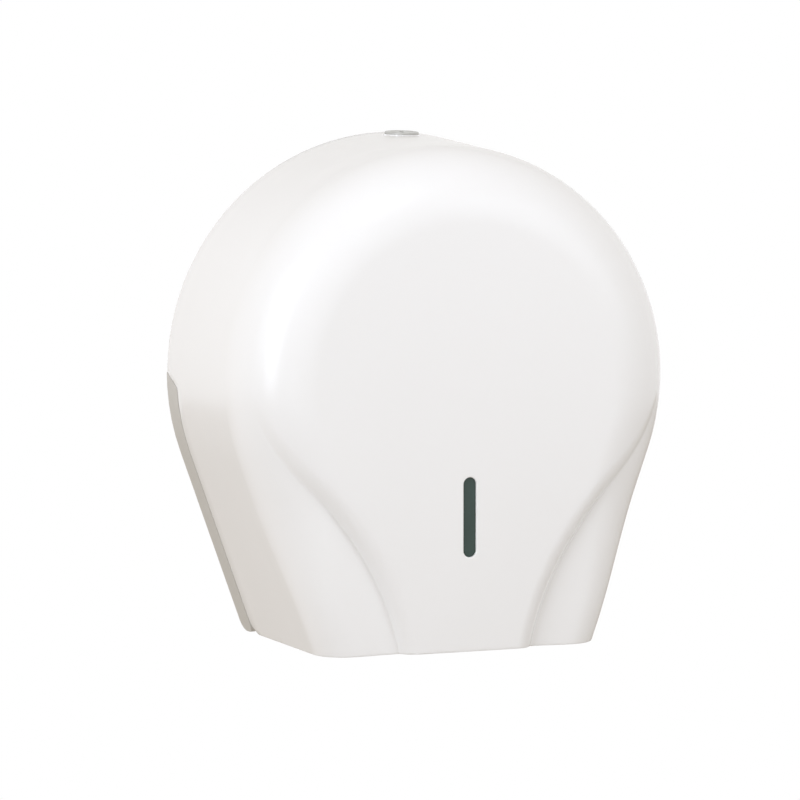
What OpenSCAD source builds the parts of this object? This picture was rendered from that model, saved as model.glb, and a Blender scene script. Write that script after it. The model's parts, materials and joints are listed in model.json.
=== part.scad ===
// Mini jumbo toilet roll dispenser for a wall, with a hinged moulded cover.
// Frame: X to the right, Y into the wall, Z up. The wall is the plane Y = 0.
// The origin is where the spindle's axis meets the wall. "Depth" is the distance from the wall into the room.

/* [Cover form] */
// Radius of the round top, at the wall
top_r = 135; // [125:1:150]
// Depth of the flat front
cover_d = 124.5; // [118:0.5:135]
// Height from the spindle's axis down to the bottom edge
bottom_h = 149; // [143:1:158]
// Lean of the straight sides from upright, in degrees
side_lean = 19.6; // [17:0.1:21]
// Draft of the side walls, in degrees
draft = 4.35; // [3:0.05:5.5]
// Radius of the round front edge
edge_r = 42; // [36:1:46]
// Thickness of the cover's wall
wall = 2.6; // [2.2:0.1:3.2]
// Gap between the cover's rear edge and the wall it hangs on
wall_gap = 0.6; // [0.3:0.1:1.5]
// Rise of the bottom edge from the side walls to the middle
sill_rise = 1.5; // [0:0.1:3]

/* [Belly and wings] */
// Radius of the belly's round edge
belly_r = 135; // [128:0.5:140]
// Height of that round edge's centre above the spindle's axis
belly_rise = 57; // [50:1:64]
// Half width that the belly's neck narrows to
neck_half_w = 24; // [21:1:28]
// Height from the spindle's axis down to the neck's narrowest place
neck_h = 183; // [175:1:192]
// Radius of the edge over which the belly steps down to the wings
belly_edge_r = 12; // [9:0.5:15]
// Radius of that edge where it begins at the sides
belly_top_edge_r = 6; // [5:0.5:10]
// Set-back of the two side wings behind the belly
wing_set = 7; // [4:0.2:8]
// Radius of the wings' front edge where they begin
wing_top_edge_r = 32.5; // [28:0.5:42]
// Radius of the wings' front edge at the bottom
wing_edge_r = 19.5; // [16:0.5:28]
// Softness of the crease between the belly and a wing
crease_soft = 1.2; // [0.4:0.1:2.6]

/* [Window] */
// Width of the level slot
slot_w = 7.5; // [6:0.5:10]
// Height of the level slot
slot_h = 44; // [30:1:60]
// Height from the spindle's axis down to the slot's middle
slot_drop = 74; // [66:1:84]
// Recess of the window in the slot
lens_recess = 1.2; // [0.6:0.1:1.8]
// Width of the window's flange on each side of the slot
lens_lip = 3.5; // [2.5:0.5:5]
// Thickness of the window's flange
lens_t = 1.6; // [1.2:0.1:2]
// Diameter of the two posts that hold the window
lens_post = 3; // [2.5:0.1:3.5]

/* [Back plate] */
// Thickness of the plate's web
web_t = 3; // [2.5:0.1:4]
// Inset of the plate's rim from the cover's outline
rim_inset = 5; // [4.6:0.1:7]
// Thickness of the rim and the side skirts
rim_t = 2.4; // [2:0.1:3]
// Depth of the rim and of the side skirts that show behind the cover
skirt_d = 15; // [12:0.5:16]
// Length of the slope where a skirt begins
skirt_slope = 8; // [5:1:14]
// Gap between a skirt and the cover's edge
skirt_gap = 0.5; // [0.3:0.1:1]
// Radius of the skirts' two bottom corners
skirt_corner = 6; // [4:0.5:8]
// Depth of the stiffening ribs
rib_d = 9; // [6:0.5:11]
// Thickness of the stiffening ribs
rib_t = 2; // [1.6:0.1:2.6]
// Radius of the ring rib
ring_r = 66; // [52:1:74]
// Number of spoke ribs
spokes = 8; // [6:2:12]

/* [Wall screws] */
// Width of the screw pattern
screw_w = 150; // [136:1:166]
// Height of the screw pattern
screw_h = 110; // [90:1:120]
// Diameter of the wall screws' holes
screw_hole = 5.5; // [4.5:0.1:6.5]
// Diameter of the seats for the screw heads
screw_seat = 11; // [9:0.5:13]
// Depth of the screw bosses
screw_boss_d = 7; // [5:0.5:9]
// How far the screw heads sink into their bosses
screw_seat_deep = 1.5; // [1:0.1:2.5]

/* [Hinge] */
// Radius of the cover's rear bottom corner, round the hinge's axis
hinge_r = 10; // [9:0.5:12]
// Diameter of the hinge pins
pin_d = 5; // [4:0.5:6]
// Running clearance of a pin in the cover, on the radius
pin_play = 0.06; // [0.03:0.01:0.1]
// Radius of the knuckles round the pins
knuckle_r = 6.5; // [5.5:0.1:7.2]
// Length of the cover's knuckles
cover_knuckle = 7; // [6:0.5:9]
// Thickness of the plate's lugs
lug_t = 6.5; // [5:0.5:9]
// Side gap between a lug and a knuckle
side_gap = 0.5; // [0.3:0.1:1]
// Diameter of the pins' heads
pin_head_d = 8.5; // [7.5:0.5:10]
// Thickness of the pins' heads
pin_head_t = 2; // [1.5:0.1:3]

/* [Spindle and hub] */
// Diameter of the spindle
spindle_d = 20; // [16:1:24]
// Depth of the spindle's end
spindle_end = 104; // [98:1:108]
// Diameter of the spindle's flange
flange_d = 54; // [48:1:60]
// Thickness of the spindle's flange
flange_t = 3.5; // [3:0.5:5]
// Diameter of the hub that carries the roll's core
hub_d = 44; // [40:1:50]
// Thickness of the hub's wall
hub_wall = 2.5; // [2:0.1:3.5]
// Diameter of the hub's rear flange
hub_flange_d = 64; // [60:1:72]
// Running clearance of the hub on the spindle, on the radius
hub_play = 0.1; // [0.05:0.01:0.1]
// End clearance of the hub
hub_end_gap = 0.5; // [0.3:0.1:1]
// Outer diameter of the adapter ring for wide cores
adapter_d = 57; // [52:1:60]
// Length of the adapter ring
adapter_l = 34; // [24:1:50]
// Number of fins on the adapter ring
adapter_fins = 8; // [6:1:12]

/* [Lock] */
// Depth of the lock's axis
lock_d = 17.5; // [16.5:0.5:19]
// Diameter of the lock's visible flange
lock_flange_d = 19.5; // [18:0.5:21]
// Thickness of the lock's flange
lock_flange_t = 1.3; // [1:0.1:2]
// Diameter of the lock's threaded body
lock_body_d = 16; // [14:0.5:17]
// Length of the lock's body below its flange
lock_body_l = 16; // [13:0.5:18]
// Diameter of the turning plug
plug_d = 11; // [9:0.5:12]
// Running clearance of the plug, on the radius
plug_play = 0.06; // [0.03:0.01:0.1]
// Width across the flats of the lock's nut
nut_af = 20; // [18:0.5:21]
// Thickness of the lock's nut
nut_t = 3; // [2.5:0.5:4]
// Reach of the cam from the lock's axis
cam_reach = 12.5; // [11.5:0.5:13]
// Width of the cam
cam_w = 8; // [6:0.5:9]
// Thickness of the cam
cam_t = 2; // [1.5:0.1:2.5]
// Gap between the locked cam and the strike's lip
strike_gap = 0.6; // [0.4:0.1:1]
// Thickness of the strike's sheet
strike_t = 1.5; // [1.2:0.1:2]

/* [Tear strip] */
// Length of the tear strip
strip_l = 58; // [46:1:60]
// Height of the tear strip without its teeth
strip_h = 12; // [10:0.5:16]
// Thickness of the tear strip
strip_t = 1; // [0.8:0.1:1.5]
// Pitch of the teeth
tooth_pitch = 2; // [1.6:0.1:4]
// Height of the teeth
tooth_h = 1.8; // [1:0.1:3]
// Distance of the teeth's tips above the cover's bottom edge
strip_lift = 2.5; // [2:0.5:4]
// Spacing of the strip's two screws
strip_screw_w = 40; // [30:1:46]
// Depth of the strip's bosses inside the front
strip_boss = 5; // [4:0.5:8]

/* [Hidden] */
$fn = 64;
cover_white = [0.94, 0.94, 0.935];
plate_grey = [0.76, 0.75, 0.72];
lock_grey = [0.80, 0.80, 0.78];
window_green = [0.25, 0.33, 0.30];
steel = [0.72, 0.73, 0.74];
degree = PI / 180;
eps = 0.01;

// Lengths along the outline, from its widest place: negative above it and positive below it.
arc_len = top_r * side_lean * degree;
top_len = top_r * 90 * degree;
wing_start = -10;
wing_set_end = 46;
wing_edge_start = 70;
wing_edge_end = 150;

// The belly ends on a circle, and its neck on an arc that is tangent to the circle.
edge_inset = (cover_d - edge_r) * tan(draft) + edge_r / cos(draft);
belly_c = [0, belly_rise];
neck_drop = neck_h + belly_rise;
neck_r = (neck_half_w * neck_half_w + neck_drop * neck_drop - belly_r * belly_r)
    / (2 * (belly_r - neck_half_w));
neck_c = [neck_half_w + neck_r, -neck_h];

// Hinge: its axis is centred in the cover's rounded corner.
cover_side_d = skirt_d + skirt_gap;
hinge_d = cover_side_d + hinge_r;
hinge_h = bottom_h - hinge_r;
wall_x = (top_r - hinge_d * tan(draft) - wall / cos(draft) - hinge_h * sin(side_lean)) / cos(side_lean);
knuckle_x = wall_x - cover_knuckle;
lug_x = knuckle_x - side_gap - lug_t;
pin_tip_x = knuckle_x + cover_knuckle - 1.5;

// Fasteners and small fits.
press_play = 0.02;
thread_gap = 0.3;
function pilot_r(d) = d / 2 - thread_gap;
head_play = 0.2;
screw_sink = 1.8;
spindle_screw_d = 3.5;
spindle_head_d = 6.5;
spindle_screw_r = 20;
spindle_screw_angles = [30, 150, 270];
hub_screw_d = 5;
hub_screw_l = 13;
hub_head_d = 9;
hub_head_t = 3;
small_screw_d = 3;
small_head_d = 5.6;
small_head_t = 1.8;
cam_screw_d = 3.5;
cam_head_d = 7.8;
cam_head_t = 2;
washer_t = 1.5;
washer_lip = 4;
clip_t = 0.8;
clip_w = 2.2;
adapter_play = 0.1;
lens_play = 0.15;

// Stack along the spindle.
seat_d = web_t + 3;
flange_front = seat_d + flange_t;
screw_seat_d = flange_front - screw_sink;
spindle_wall = 3;
spindle_tip = 14;
hub_rear = flange_front + hub_end_gap;
hub_front = spindle_end - hub_end_gap;
hub_nose = spindle_end + 4;
hub_ribs = 6;
adapter_wall = 2;
adapter_rear = hub_rear + hub_wall + 0.3;

// Inside of the front, the window and the tear strip.
front_inner = cover_d - wall;
lens_ear = 9;
lens_post_z = slot_h / 2 + 5;
post_spare = 0.6;
strip_z = -bottom_h + strip_lift + tooth_h + strip_h / 2;
strip_boss_wall = 2;
strip_bite = 4;

// Lock, from its seat on the cover downwards.
lock_pad = 0.2;
nut_seat = wall + 0.7;
nut_r = nut_af / 2 / cos(30);
collar_w = 0.9;
collar_z = lock_pad + lock_flange_t - 1.2;
plug_foot = lock_body_l + 1;
shank_w = 6;
cam_hub_r = 5.5;
key_w = 1.6;
key_l = 6;
key_deep = 6;

// Strike: its shelf passes under the cam and its lip stands in front of it.
cam_mid = plug_foot + cam_t / 2;
cam_axis_d = lock_d - cam_mid * sin(draft);
cam_z = top_r - lock_d * tan(draft) - cam_mid * cos(draft);
lip_d = cam_axis_d + cam_w / 2 + strike_gap;
shelf_top = cam_z - cam_t / 2 - 2.2;
lip_top = cam_z + cam_t / 2 + 0.4;
strike_x = lock_body_d / 2 + 0.6;
strike_w = 10;
strike_leg = 19;
strike_foot = shelf_top - strike_leg;
strike_screw_edge = 4.5;
strike_screw_pitch = 8;
strike_screw_x = strike_x + strike_w / 2;
strike_screw_z = [for (i = [0, 1]) strike_foot + strike_screw_edge + i * strike_screw_pitch];

function smooth(x, a, b) = let (t = min(max((x - a) / (b - a), 0), 1)) t * t * (3 - 2 * t);

// Point on the outline at a length m from its widest place, as [x, z].
function on_outline(m) = m < arc_len
    ? top_r * [cos(m / degree / top_r), -sin(m / degree / top_r)]
    : top_r * [cos(side_lean), -sin(side_lean)] - (m - arc_len) * [sin(side_lean), cos(side_lean)];
function side_m(z) = arc_len + (-z - top_r * sin(side_lean)) / cos(side_lean);

// A row runs from the outline to a place on the middle line, which slides down along the straight sides.
function row_centre(p, m) = m < arc_len ? [0, 0]
    : [0, (sill_rise - bottom_h) * (-p[1] - top_r * sin(side_lean)) / (bottom_h - top_r * sin(side_lean))];
function row_at(m) = let (p = on_outline(m), c = row_centre(p, m))
    [p, c, m < arc_len ? top_r : p[0] * cos(side_lean) + (c[1] - p[1]) * sin(side_lean), m];
function row_point(row, q) = row[0] + (row[1] - row[0]) * q / row[2];

// Length along the outline that a point belongs to.
function along(p) = p[1] >= -p[0] * tan(side_lean)
    ? -atan2(p[1], max(p[0], eps)) * degree * top_r
    : arc_len - (p[0] * sin(side_lean) + p[1] * cos(side_lean));

// Depth of a rounded edge: c is the inset of its centre, q the point's inset, r the radius, f the front.
function edge_depth(q, c, r, f, skin) = let (s = c - q, k = r - skin)
    s <= 0 ? f - skin : s < k * cos(draft) ? f - r + sqrt(k * k - s * s)
    : f - r + k * sin(draft) - (s - k * cos(draft)) / tan(draft);
function wing_r(m) = edge_r + (wing_top_edge_r - edge_r) * smooth(m, wing_start, wing_set_end)
    + (wing_edge_r - wing_top_edge_r) * smooth(m, wing_edge_start, wing_edge_end);
function wing_d(m) = cover_d - wing_set * smooth(m, wing_start, wing_set_end);
function wing_c(m) = (wing_d(m) - wing_r(m)) * tan(draft) + wing_r(m) / cos(draft);
function wing_depth(p, q, skin) = let (m = along(p)) edge_depth(q, wing_c(m), wing_r(m), wing_d(m), skin);

// Distance of a point outside the belly's edge.
function belly_out(p) = let (q = p - belly_c, n = neck_c - belly_c)
    q[0] * n[1] - q[1] * n[0] > 0 ? neck_r - norm(p - neck_c) : norm(q) - belly_r;
function step_r(m) = belly_top_edge_r + (belly_edge_r - belly_top_edge_r) * smooth(m, 0, wing_edge_start);
function belly_depth(p, q, skin) = edge_depth(q, edge_inset, edge_r, cover_d, skin)
    + edge_depth(-belly_out(p), 0, step_r(along(p)), skin, skin);
function softness(p) = max(crease_soft * smooth(along(p), wing_start, wing_set_end), eps);
function skin_depth(p, q, skin) = let (a = belly_depth(p, q, skin), b = wing_depth(p, q, skin),
    k = softness(p), h = max(k - abs(a - b), 0)) max(a, b) + h * h / (4 * k);

// Insets of the crease and of the belly's edge on a row, found by halving.
function gap_at(row, q, skin) = let (p = row_point(row, q)) belly_depth(p, q, skin) - wing_depth(p, q, skin);
function crease_q(row, lo, hi, skin, n = 20) = let (mid = (lo + hi) / 2)
    n == 0 ? mid
    : gap_at(row, mid, skin) > 0 ? crease_q(row, lo, mid, skin, n - 1)
    : crease_q(row, mid, hi, skin, n - 1);
function belly_q(row, lo, hi, n = 20) = let (mid = (lo + hi) / 2)
    n == 0 ? mid
    : belly_out(row_point(row, mid)) < 0 ? belly_q(row, lo, mid, n - 1)
    : belly_q(row, mid, hi, n - 1);

// Depth of the cover's rear edge: at the wall above, behind the skirts below, and round at the hinge.
function rear_d(m) = let (z = on_outline(m)[1])
    m <= 0 ? wall_gap
    : m < skirt_slope ? wall_gap + (cover_side_d - wall_gap) * m / skirt_slope
    : z > -hinge_h ? cover_side_d
    : hinge_d - sqrt(max(hinge_r * hinge_r - (z + hinge_h) * (z + hinge_h), 0));

// One row of a skin: its rear edge, the wing's rounded edge out to the crease, the belly's edge and its front.
wing_steps = 7;
edge_steps = 4;
front_steps = 4;
flat_share = 0.4;
top_angle = 28;
front_least = 3;
skin_points = 2 + wing_steps + edge_steps + front_steps;
function wing_insets(m, crease, skin) = let (
    c = wing_c(m), r = wing_r(m),
    turn = crease < c ? acos((c - crease) / (r - skin)) : 90,
    arc = r * (turn - draft) * degree,
    run = arc + flat_share * max(crease - c, 0))
    [for (i = [0:wing_steps]) let (t = run * i / wing_steps)
        t <= arc ? c - (r - skin) * cos(draft + t / r / degree) : c + (t - arc) / flat_share];
function edge_insets(row, crease, edge, skin) = let (
    tilt = asin(min(belly_out(row_point(row, crease)) / (step_r(row[3]) - skin), 0.99)))
    [for (i = [1:edge_steps]) edge + (crease - edge) * sin(tilt * (1 - i / edge_steps)) / sin(tilt)];
function front_insets(edge) = let (
    flat = max(edge_inset, edge + front_least),
    lean = acos(max((edge_inset - edge) / edge_r, 0.1)))
    [for (i = [1:front_steps]) flat - (flat - edge) * cos(lean + (90 - lean) * i / front_steps) / cos(lean)];
function top_insets(skin) = let (count = edge_steps + front_steps)
    [for (i = [1:count]) edge_inset - (edge_r - skin) * cos(top_angle + (90 - top_angle) * i / count)];
function row_insets(row, skin) = let (
    m = row[3], k = wing_r(m) - skin,
    edge = belly_q(row, 0, row[2]),
    crease = m > 0 ? crease_q(row, wing_c(m) - k * cos(draft), edge, skin) : wing_c(m) - k * cos(top_angle))
    concat([rear_d(m) * tan(draft) + skin / cos(draft)], wing_insets(m, crease, skin),
        m > 0 ? concat(edge_insets(row, crease, edge, skin), front_insets(edge)) : top_insets(skin));
function skin_row(row, skin, side) = let (insets = row_insets(row, skin))
    [for (i = [0:skin_points - 1]) let (p = row_point(row, insets[i]))
        [side * p[0], i == 0 ? -rear_d(row[3]) : -skin_depth(p, insets[i], skin), p[1]]];

// Rows of the right half, from the top down to the bottom edge.
half_rows = concat(
    [for (i = [0:18]) row_at(-top_len * (1 - i / 18))],
    [for (i = [0:3]) row_at(skirt_slope + (arc_len - skirt_slope) * i / 3)],
    [for (i = [1:11]) row_at(arc_len + (side_m(-hinge_h) - arc_len) * i / 11)],
    [for (i = [1:4]) row_at(side_m(-hinge_h - hinge_r * sin(22.5 * i)))]);

// The closed shell: an outer and an inner skin, joined along the rear edge, the bottom edge and the front.
module cover_shell() {
    n = len(half_rows) - 1;
    w = skin_points;
    order = concat([for (i = [n:-1:0]) [i, 1]], [for (i = [1:n]) [i, -1]]);
    outer = [for (k = order) each skin_row(half_rows[k[0]], 0, k[1])];
    inner = [for (k = order) each skin_row(half_rows[k[0]], wall, k[1])];
    last = 2 * n;
    in0 = len(outer);
    skins = [for (i = [0:last - 1], j = [0:w - 2]) each [
        [i * w + j, i * w + j + 1, (i + 1) * w + j + 1, (i + 1) * w + j],
        [in0 + i * w + j, in0 + (i + 1) * w + j, in0 + (i + 1) * w + j + 1, in0 + i * w + j + 1]]];
    rear = [for (i = [0:last - 1]) [i * w, (i + 1) * w, in0 + (i + 1) * w, in0 + i * w]];
    foot = [for (j = [0:w - 2]) each [
        [j, in0 + j, in0 + j + 1, j + 1],
        [last * w + j, last * w + j + 1, in0 + last * w + j + 1, in0 + last * w + j]]];
    face = [for (i = [0:n - 1]) let (a = i * w + w - 1, b = (i + 1) * w + w - 1,
            c = (last - i - 1) * w + w - 1, d = (last - i) * w + w - 1) each [
        b == c ? [a, d, b] : [a, d, c, b],
        b == c ? [in0 + a, in0 + b, in0 + d] : [in0 + a, in0 + b, in0 + c, in0 + d]]];
    sill = [[w - 1, in0 + w - 1, in0 + last * w + w - 1, last * w + w - 1]];
    polyhedron(points = concat(outer, inner), faces = concat(skins, rear, foot, face, sill), convexity = 6);
}

// Everything between two depths, with the drawing's Y as the part's Z.
module slab(d0, d1) {
    translate([0, -d0, 0]) rotate([90, 0, 0]) linear_extrude(d1 - d0) children();
}

// A round rod along X between two places.
module rod_x(x0, x1, d, z, r) {
    translate([x0, -d, z]) rotate([0, 90, 0]) cylinder(h = x1 - x0, r = r);
}

// Half width of the outline at the bottom, and where its sides leave the round top.
function foot_x(inset, base) = (top_r - inset - base * sin(side_lean)) / cos(side_lean);
function shoulder(inset) = (top_r - inset) * [cos(side_lean), -sin(side_lean)];

// The dispenser's outline as a drawing, moved inwards, with a straight bottom edge.
module outline(inset, base) {
    foot = foot_x(inset, base);
    side = shoulder(inset);
    circle(top_r - inset);
    polygon([[0, 0], [-side[0], side[1]], [-foot, -base], [foot, -base], side]);
}

// The same outline as points, with its round top in short straight steps.
outline_step = 4;
function outline_points(inset, base) =
    let (foot = foot_x(inset, base), sweep = 180 + 2 * side_lean, steps = ceil(sweep / outline_step))
    concat([[foot, -base]],
        [for (i = [0:steps]) let (t = i * sweep / steps - side_lean) (top_r - inset) * [cos(t), sin(t)]],
        [[-foot, -base]]);

// A solid with the outline's drafted walls, from the wall to depth d.
module drafted_block(d, base) {
    near = [for (p = outline_points(0, base)) [p[0], 0, p[1]]];
    far = [for (p = outline_points(d * tan(draft), base)) [p[0], -d, p[1]]];
    n = len(near);
    sides = [for (i = [0:n - 1]) [i, n + i, n + (i + 1) % n, (i + 1) % n]];
    polyhedron(points = concat(near, far), faces = concat([[for (i = [0:n - 1]) i],
        [for (i = [n - 1:-1:0]) n + i]], sides), convexity = 2);
}

// Half space inside one straight side wall, at a distance from its outer face.
module inside_wall(inset) {
    big = 400;
    rotate([0, side_lean, 0]) rotate([0, 0, -draft])
        translate([(top_r - inset) * cos(draft) - big, -big / 2, -big / 2]) cube(big);
}

// Places the children on both sides.
module both_sides() {
    children();
    mirror([1, 0, 0]) children();
}

// ---- Back plate ----
rim_notch_w = nut_af / cos(30) + 8;
module plate_walls() {
    difference() {
        slab(0, skirt_d) outline(rim_inset, bottom_h);
        slab(web_t, skirt_d + eps) outline(rim_inset + rim_t, bottom_h - rim_t);
        slab(web_t, skirt_d + eps) translate([-rim_notch_w / 2, top_r / 2]) square([rim_notch_w, top_r]);
    }
}
module plate_skirts() {
    difference() {
        drafted_block(skirt_d, bottom_h);
        slab(web_t, skirt_d + eps) outline(rim_t + skirt_d * tan(draft), bottom_h + 5);
        // The slope where the skirts begin, and everything above it.
        rotate([90, 0, 90]) translate([0, 0, -2 * top_r]) linear_extrude(4 * top_r)
            polygon([[eps, 0], [-skirt_d - eps, -skirt_slope], [-skirt_d - eps, 2 * top_r], [eps, 2 * top_r]]);
        // The round corners at the bottom.
        rotate([90, 0, 90]) translate([0, 0, -2 * top_r]) linear_extrude(4 * top_r) difference() {
            translate([-skirt_d - 1, -bottom_h - 1]) square([skirt_d + 2, skirt_corner + 1]);
            for (y = [-skirt_d + skirt_corner, -skirt_corner])
                translate([y, -bottom_h + skirt_corner]) circle(skirt_corner);
            translate([-skirt_d + skirt_corner, -bottom_h]) square([skirt_d - 2 * skirt_corner, skirt_corner]);
        }
    }
}
module plate_ribs() {
    intersection() {
        slab(web_t - eps, rib_d) outline(rim_inset + rim_t / 2, bottom_h - rim_t / 2);
        union() {
            for (i = [0:spokes - 1])
                slab(web_t - eps, rib_d) rotate(180 / spokes + 360 * i / spokes)
                    translate([flange_d / 2 - 2, -rib_t / 2]) square([top_r, rib_t]);
            slab(web_t - eps, rib_d) difference() {
                circle(ring_r + rib_t / 2);
                circle(ring_r - rib_t / 2);
            }
        }
    }
}
module plate_lug() {
    rod_x(lug_x, lug_x + lug_t, hinge_d, -hinge_h, knuckle_r);
    translate([lug_x, -hinge_d, -hinge_h - knuckle_r]) cube([lug_t, hinge_d - web_t + eps, 2 * knuckle_r]);
}
module back_plate() {
    color(plate_grey) difference() {
        union() {
            plate_walls();
            plate_skirts();
            plate_ribs();
            slab(web_t - eps, seat_d) circle(flange_d / 2 + 3);
            for (x = [-1, 1], z = [-1, 1])
                slab(web_t - eps, screw_boss_d)
                    translate([x * screw_w / 2, z * screw_h / 2]) circle(screw_seat / 2 + 2.5);
            both_sides() plate_lug();
        }
        for (x = [-1, 1], z = [-1, 1]) {
            slab(-1, rib_d + 1) translate([x * screw_w / 2, z * screw_h / 2]) circle(screw_hole / 2);
            slab(screw_boss_d - screw_seat_deep, rib_d + 1)
                translate([x * screw_w / 2, z * screw_h / 2]) circle(screw_seat / 2);
        }
        both_sides() rod_x(lug_x - 1, lug_x + lug_t + 1, hinge_d, -hinge_h, pin_d / 2 + press_play);
        for (a = spindle_screw_angles)
            slab(1, seat_d + eps) rotate(a) translate([spindle_screw_r, 0]) circle(pilot_r(spindle_screw_d));
        slab(seat_d, rib_d + 1) circle(flange_d / 2 + 0.3);
        for (z = strike_screw_z)
            slab(1, rib_d + eps) translate([strike_screw_x, z]) circle(pilot_r(small_screw_d));
    }
}

// ---- Spindle, hub and adapter ----
module spindle() {
    color(plate_grey) difference() {
        union() {
            slab(seat_d, flange_front) circle(flange_d / 2);
            slab(flange_front - eps, spindle_end) circle(spindle_d / 2);
        }
        for (a = spindle_screw_angles) {
            slab(seat_d - 1, flange_front + 1)
                rotate(a) translate([spindle_screw_r, 0]) circle(spindle_screw_d / 2);
            slab(screw_seat_d, flange_front + 1)
                rotate(a) translate([spindle_screw_r, 0]) circle(spindle_head_d / 2 + head_play);
        }
        slab(seat_d - 1, spindle_end - spindle_tip) circle(spindle_d / 2 - spindle_wall);
        slab(spindle_end - spindle_tip - 1, spindle_end + 1) circle(pilot_r(hub_screw_d));
    }
}
module pan_screw(head_seat, length, d, head_d, head_t) {
    slab(head_seat, head_seat + head_t) circle(head_d / 2);
    slab(head_seat - length, head_seat + eps) circle(d / 2 - thread_gap - press_play);
}
module spindle_screws() {
    color(steel) for (a = spindle_screw_angles)
        rotate([0, -a, 0]) translate([spindle_screw_r, 0, 0])
            pan_screw(screw_seat_d, screw_seat_d - 1.5, spindle_screw_d, spindle_head_d, screw_sink);
}
module core_hub() {
    inner_r = hub_d / 2 - hub_wall;
    sleeve_r = spindle_d / 2 + hub_play + hub_wall;
    color(plate_grey) difference() {
        union() {
            slab(hub_rear, hub_rear + hub_wall) circle(hub_flange_d / 2);
            slab(hub_rear, hub_nose) circle(hub_d / 2);
        }
        // Moulded open at the rear, with ribs from the bearing sleeve to the barrel.
        slab(hub_rear - 1, hub_front - hub_wall) difference() {
            circle(inner_r);
            circle(sleeve_r);
            for (i = [0:hub_ribs - 1])
                rotate(360 * i / hub_ribs) translate([sleeve_r - 1, -rib_t / 2]) square([inner_r, rib_t]);
        }
        slab(hub_rear - 1, hub_nose + 1) circle(spindle_d / 2 + hub_play);
        slab(hub_front, hub_nose + 1) circle(inner_r);
    }
}
module core_adapter() {
    sleeve_r = hub_d / 2 + adapter_play;
    color(cover_white) difference() {
        slab(adapter_rear, adapter_rear + adapter_l) intersection() {
            union() {
                circle(sleeve_r + adapter_wall);
                for (i = [0:adapter_fins - 1])
                    rotate(360 * i / adapter_fins) translate([sleeve_r, -adapter_wall / 2])
                        square([adapter_d / 2, adapter_wall]);
                difference() {
                    circle(adapter_d / 2);
                    circle(adapter_d / 2 - adapter_wall);
                }
            }
            circle(adapter_d / 2);
        }
        slab(adapter_rear - 1, adapter_rear + adapter_l + 1) circle(sleeve_r);
    }
}
module hub_washer() {
    color(steel) slab(spindle_end, spindle_end + washer_t) difference() {
        circle(spindle_d / 2 + washer_lip);
        circle(hub_screw_d / 2 + head_play);
    }
}
module hub_screw() {
    color(steel) pan_screw(spindle_end + washer_t, hub_screw_l, hub_screw_d, hub_head_d, hub_head_t);
}

// ---- Strike that the lock's cam turns behind ----
module strike_plate() {
    color(steel) difference() {
        union() {
            translate([strike_x, -web_t - strike_t, strike_foot])
                cube([strike_w, strike_t, shelf_top - strike_foot]);
            translate([strike_x, -lip_d - strike_t, shelf_top - strike_t])
                cube([strike_w, lip_d + strike_t - web_t, strike_t]);
            translate([strike_x, -lip_d - strike_t, shelf_top - strike_t])
                cube([strike_w, strike_t, lip_top - shelf_top + strike_t]);
        }
        for (z = strike_screw_z)
            slab(web_t - 1, web_t + strike_t + 1)
                translate([strike_screw_x, z]) circle(small_screw_d / 2 + head_play);
    }
}
module strike_screws() {
    color(steel) for (z = strike_screw_z)
        translate([strike_screw_x, 0, z])
            pan_screw(web_t + strike_t, web_t + strike_t - 1.2, small_screw_d, small_head_d, small_head_t);
}

// ---- Hinge pins ----
module hinge_pin() {
    color(steel) union() {
        rod_x(lug_x - pin_head_t, lug_x, hinge_d, -hinge_h, pin_head_d / 2);
        rod_x(lug_x - eps, pin_tip_x, hinge_d, -hinge_h, pin_d / 2);
    }
}
module hinge_pin_right() {
    hinge_pin();
}
module hinge_pin_left() {
    mirror([1, 0, 0]) hinge_pin();
}

// ---- Front cover ----
module lock_place() {
    translate([0, -lock_d, top_r - lock_d * tan(draft)]) rotate([draft, 0, 0]) children();
}
module slot_shape(play) {
    half = slot_h / 2 - slot_w / 2;
    translate([0, -slot_drop]) union() {
        square([slot_w - 2 * play, 2 * half], center = true);
        for (side = [-1, 1]) translate([0, side * half]) circle(slot_w / 2 - play);
    }
}
module front_cover() {
    color(cover_white) difference() {
        union() {
            cover_shell();
            both_sides() intersection() {
                rod_x(knuckle_x, wall_x + 12, hinge_d, -hinge_h, knuckle_r);
                inside_wall(wall / 2);
            }
            for (side = [-1, 1]) {
                slab(front_inner - lens_t - clip_t - post_spare, front_inner + 1)
                    translate([0, -slot_drop + side * lens_post_z]) circle(lens_post / 2);
                slab(front_inner - strip_boss, front_inner + 1)
                    translate([side * strip_screw_w / 2, strip_z]) circle(small_screw_d / 2 + strip_boss_wall);
            }
            lock_place() translate([0, 0, -1.5]) cylinder(h = 1.5 + lock_pad, r = lock_flange_d / 2 + 1);
            lock_place() translate([0, 0, -nut_seat]) cylinder(h = nut_seat - 1, r = nut_r + 0.6);
        }
        slab(front_inner - 1, cover_d + 1) slot_shape(0);
        lock_place() translate([0, 0, -nut_seat - 1])
            cylinder(h = nut_seat + 5, r = lock_body_d / 2 + press_play);
        both_sides() rod_x(knuckle_x - 1, pin_tip_x + 0.4, hinge_d, -hinge_h, pin_d / 2 + pin_play);
        for (side = [-1, 1])
            slab(front_inner - strip_boss - 1, front_inner + 0.5)
                translate([side * strip_screw_w / 2, strip_z]) circle(pilot_r(small_screw_d));
    }
}

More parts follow.
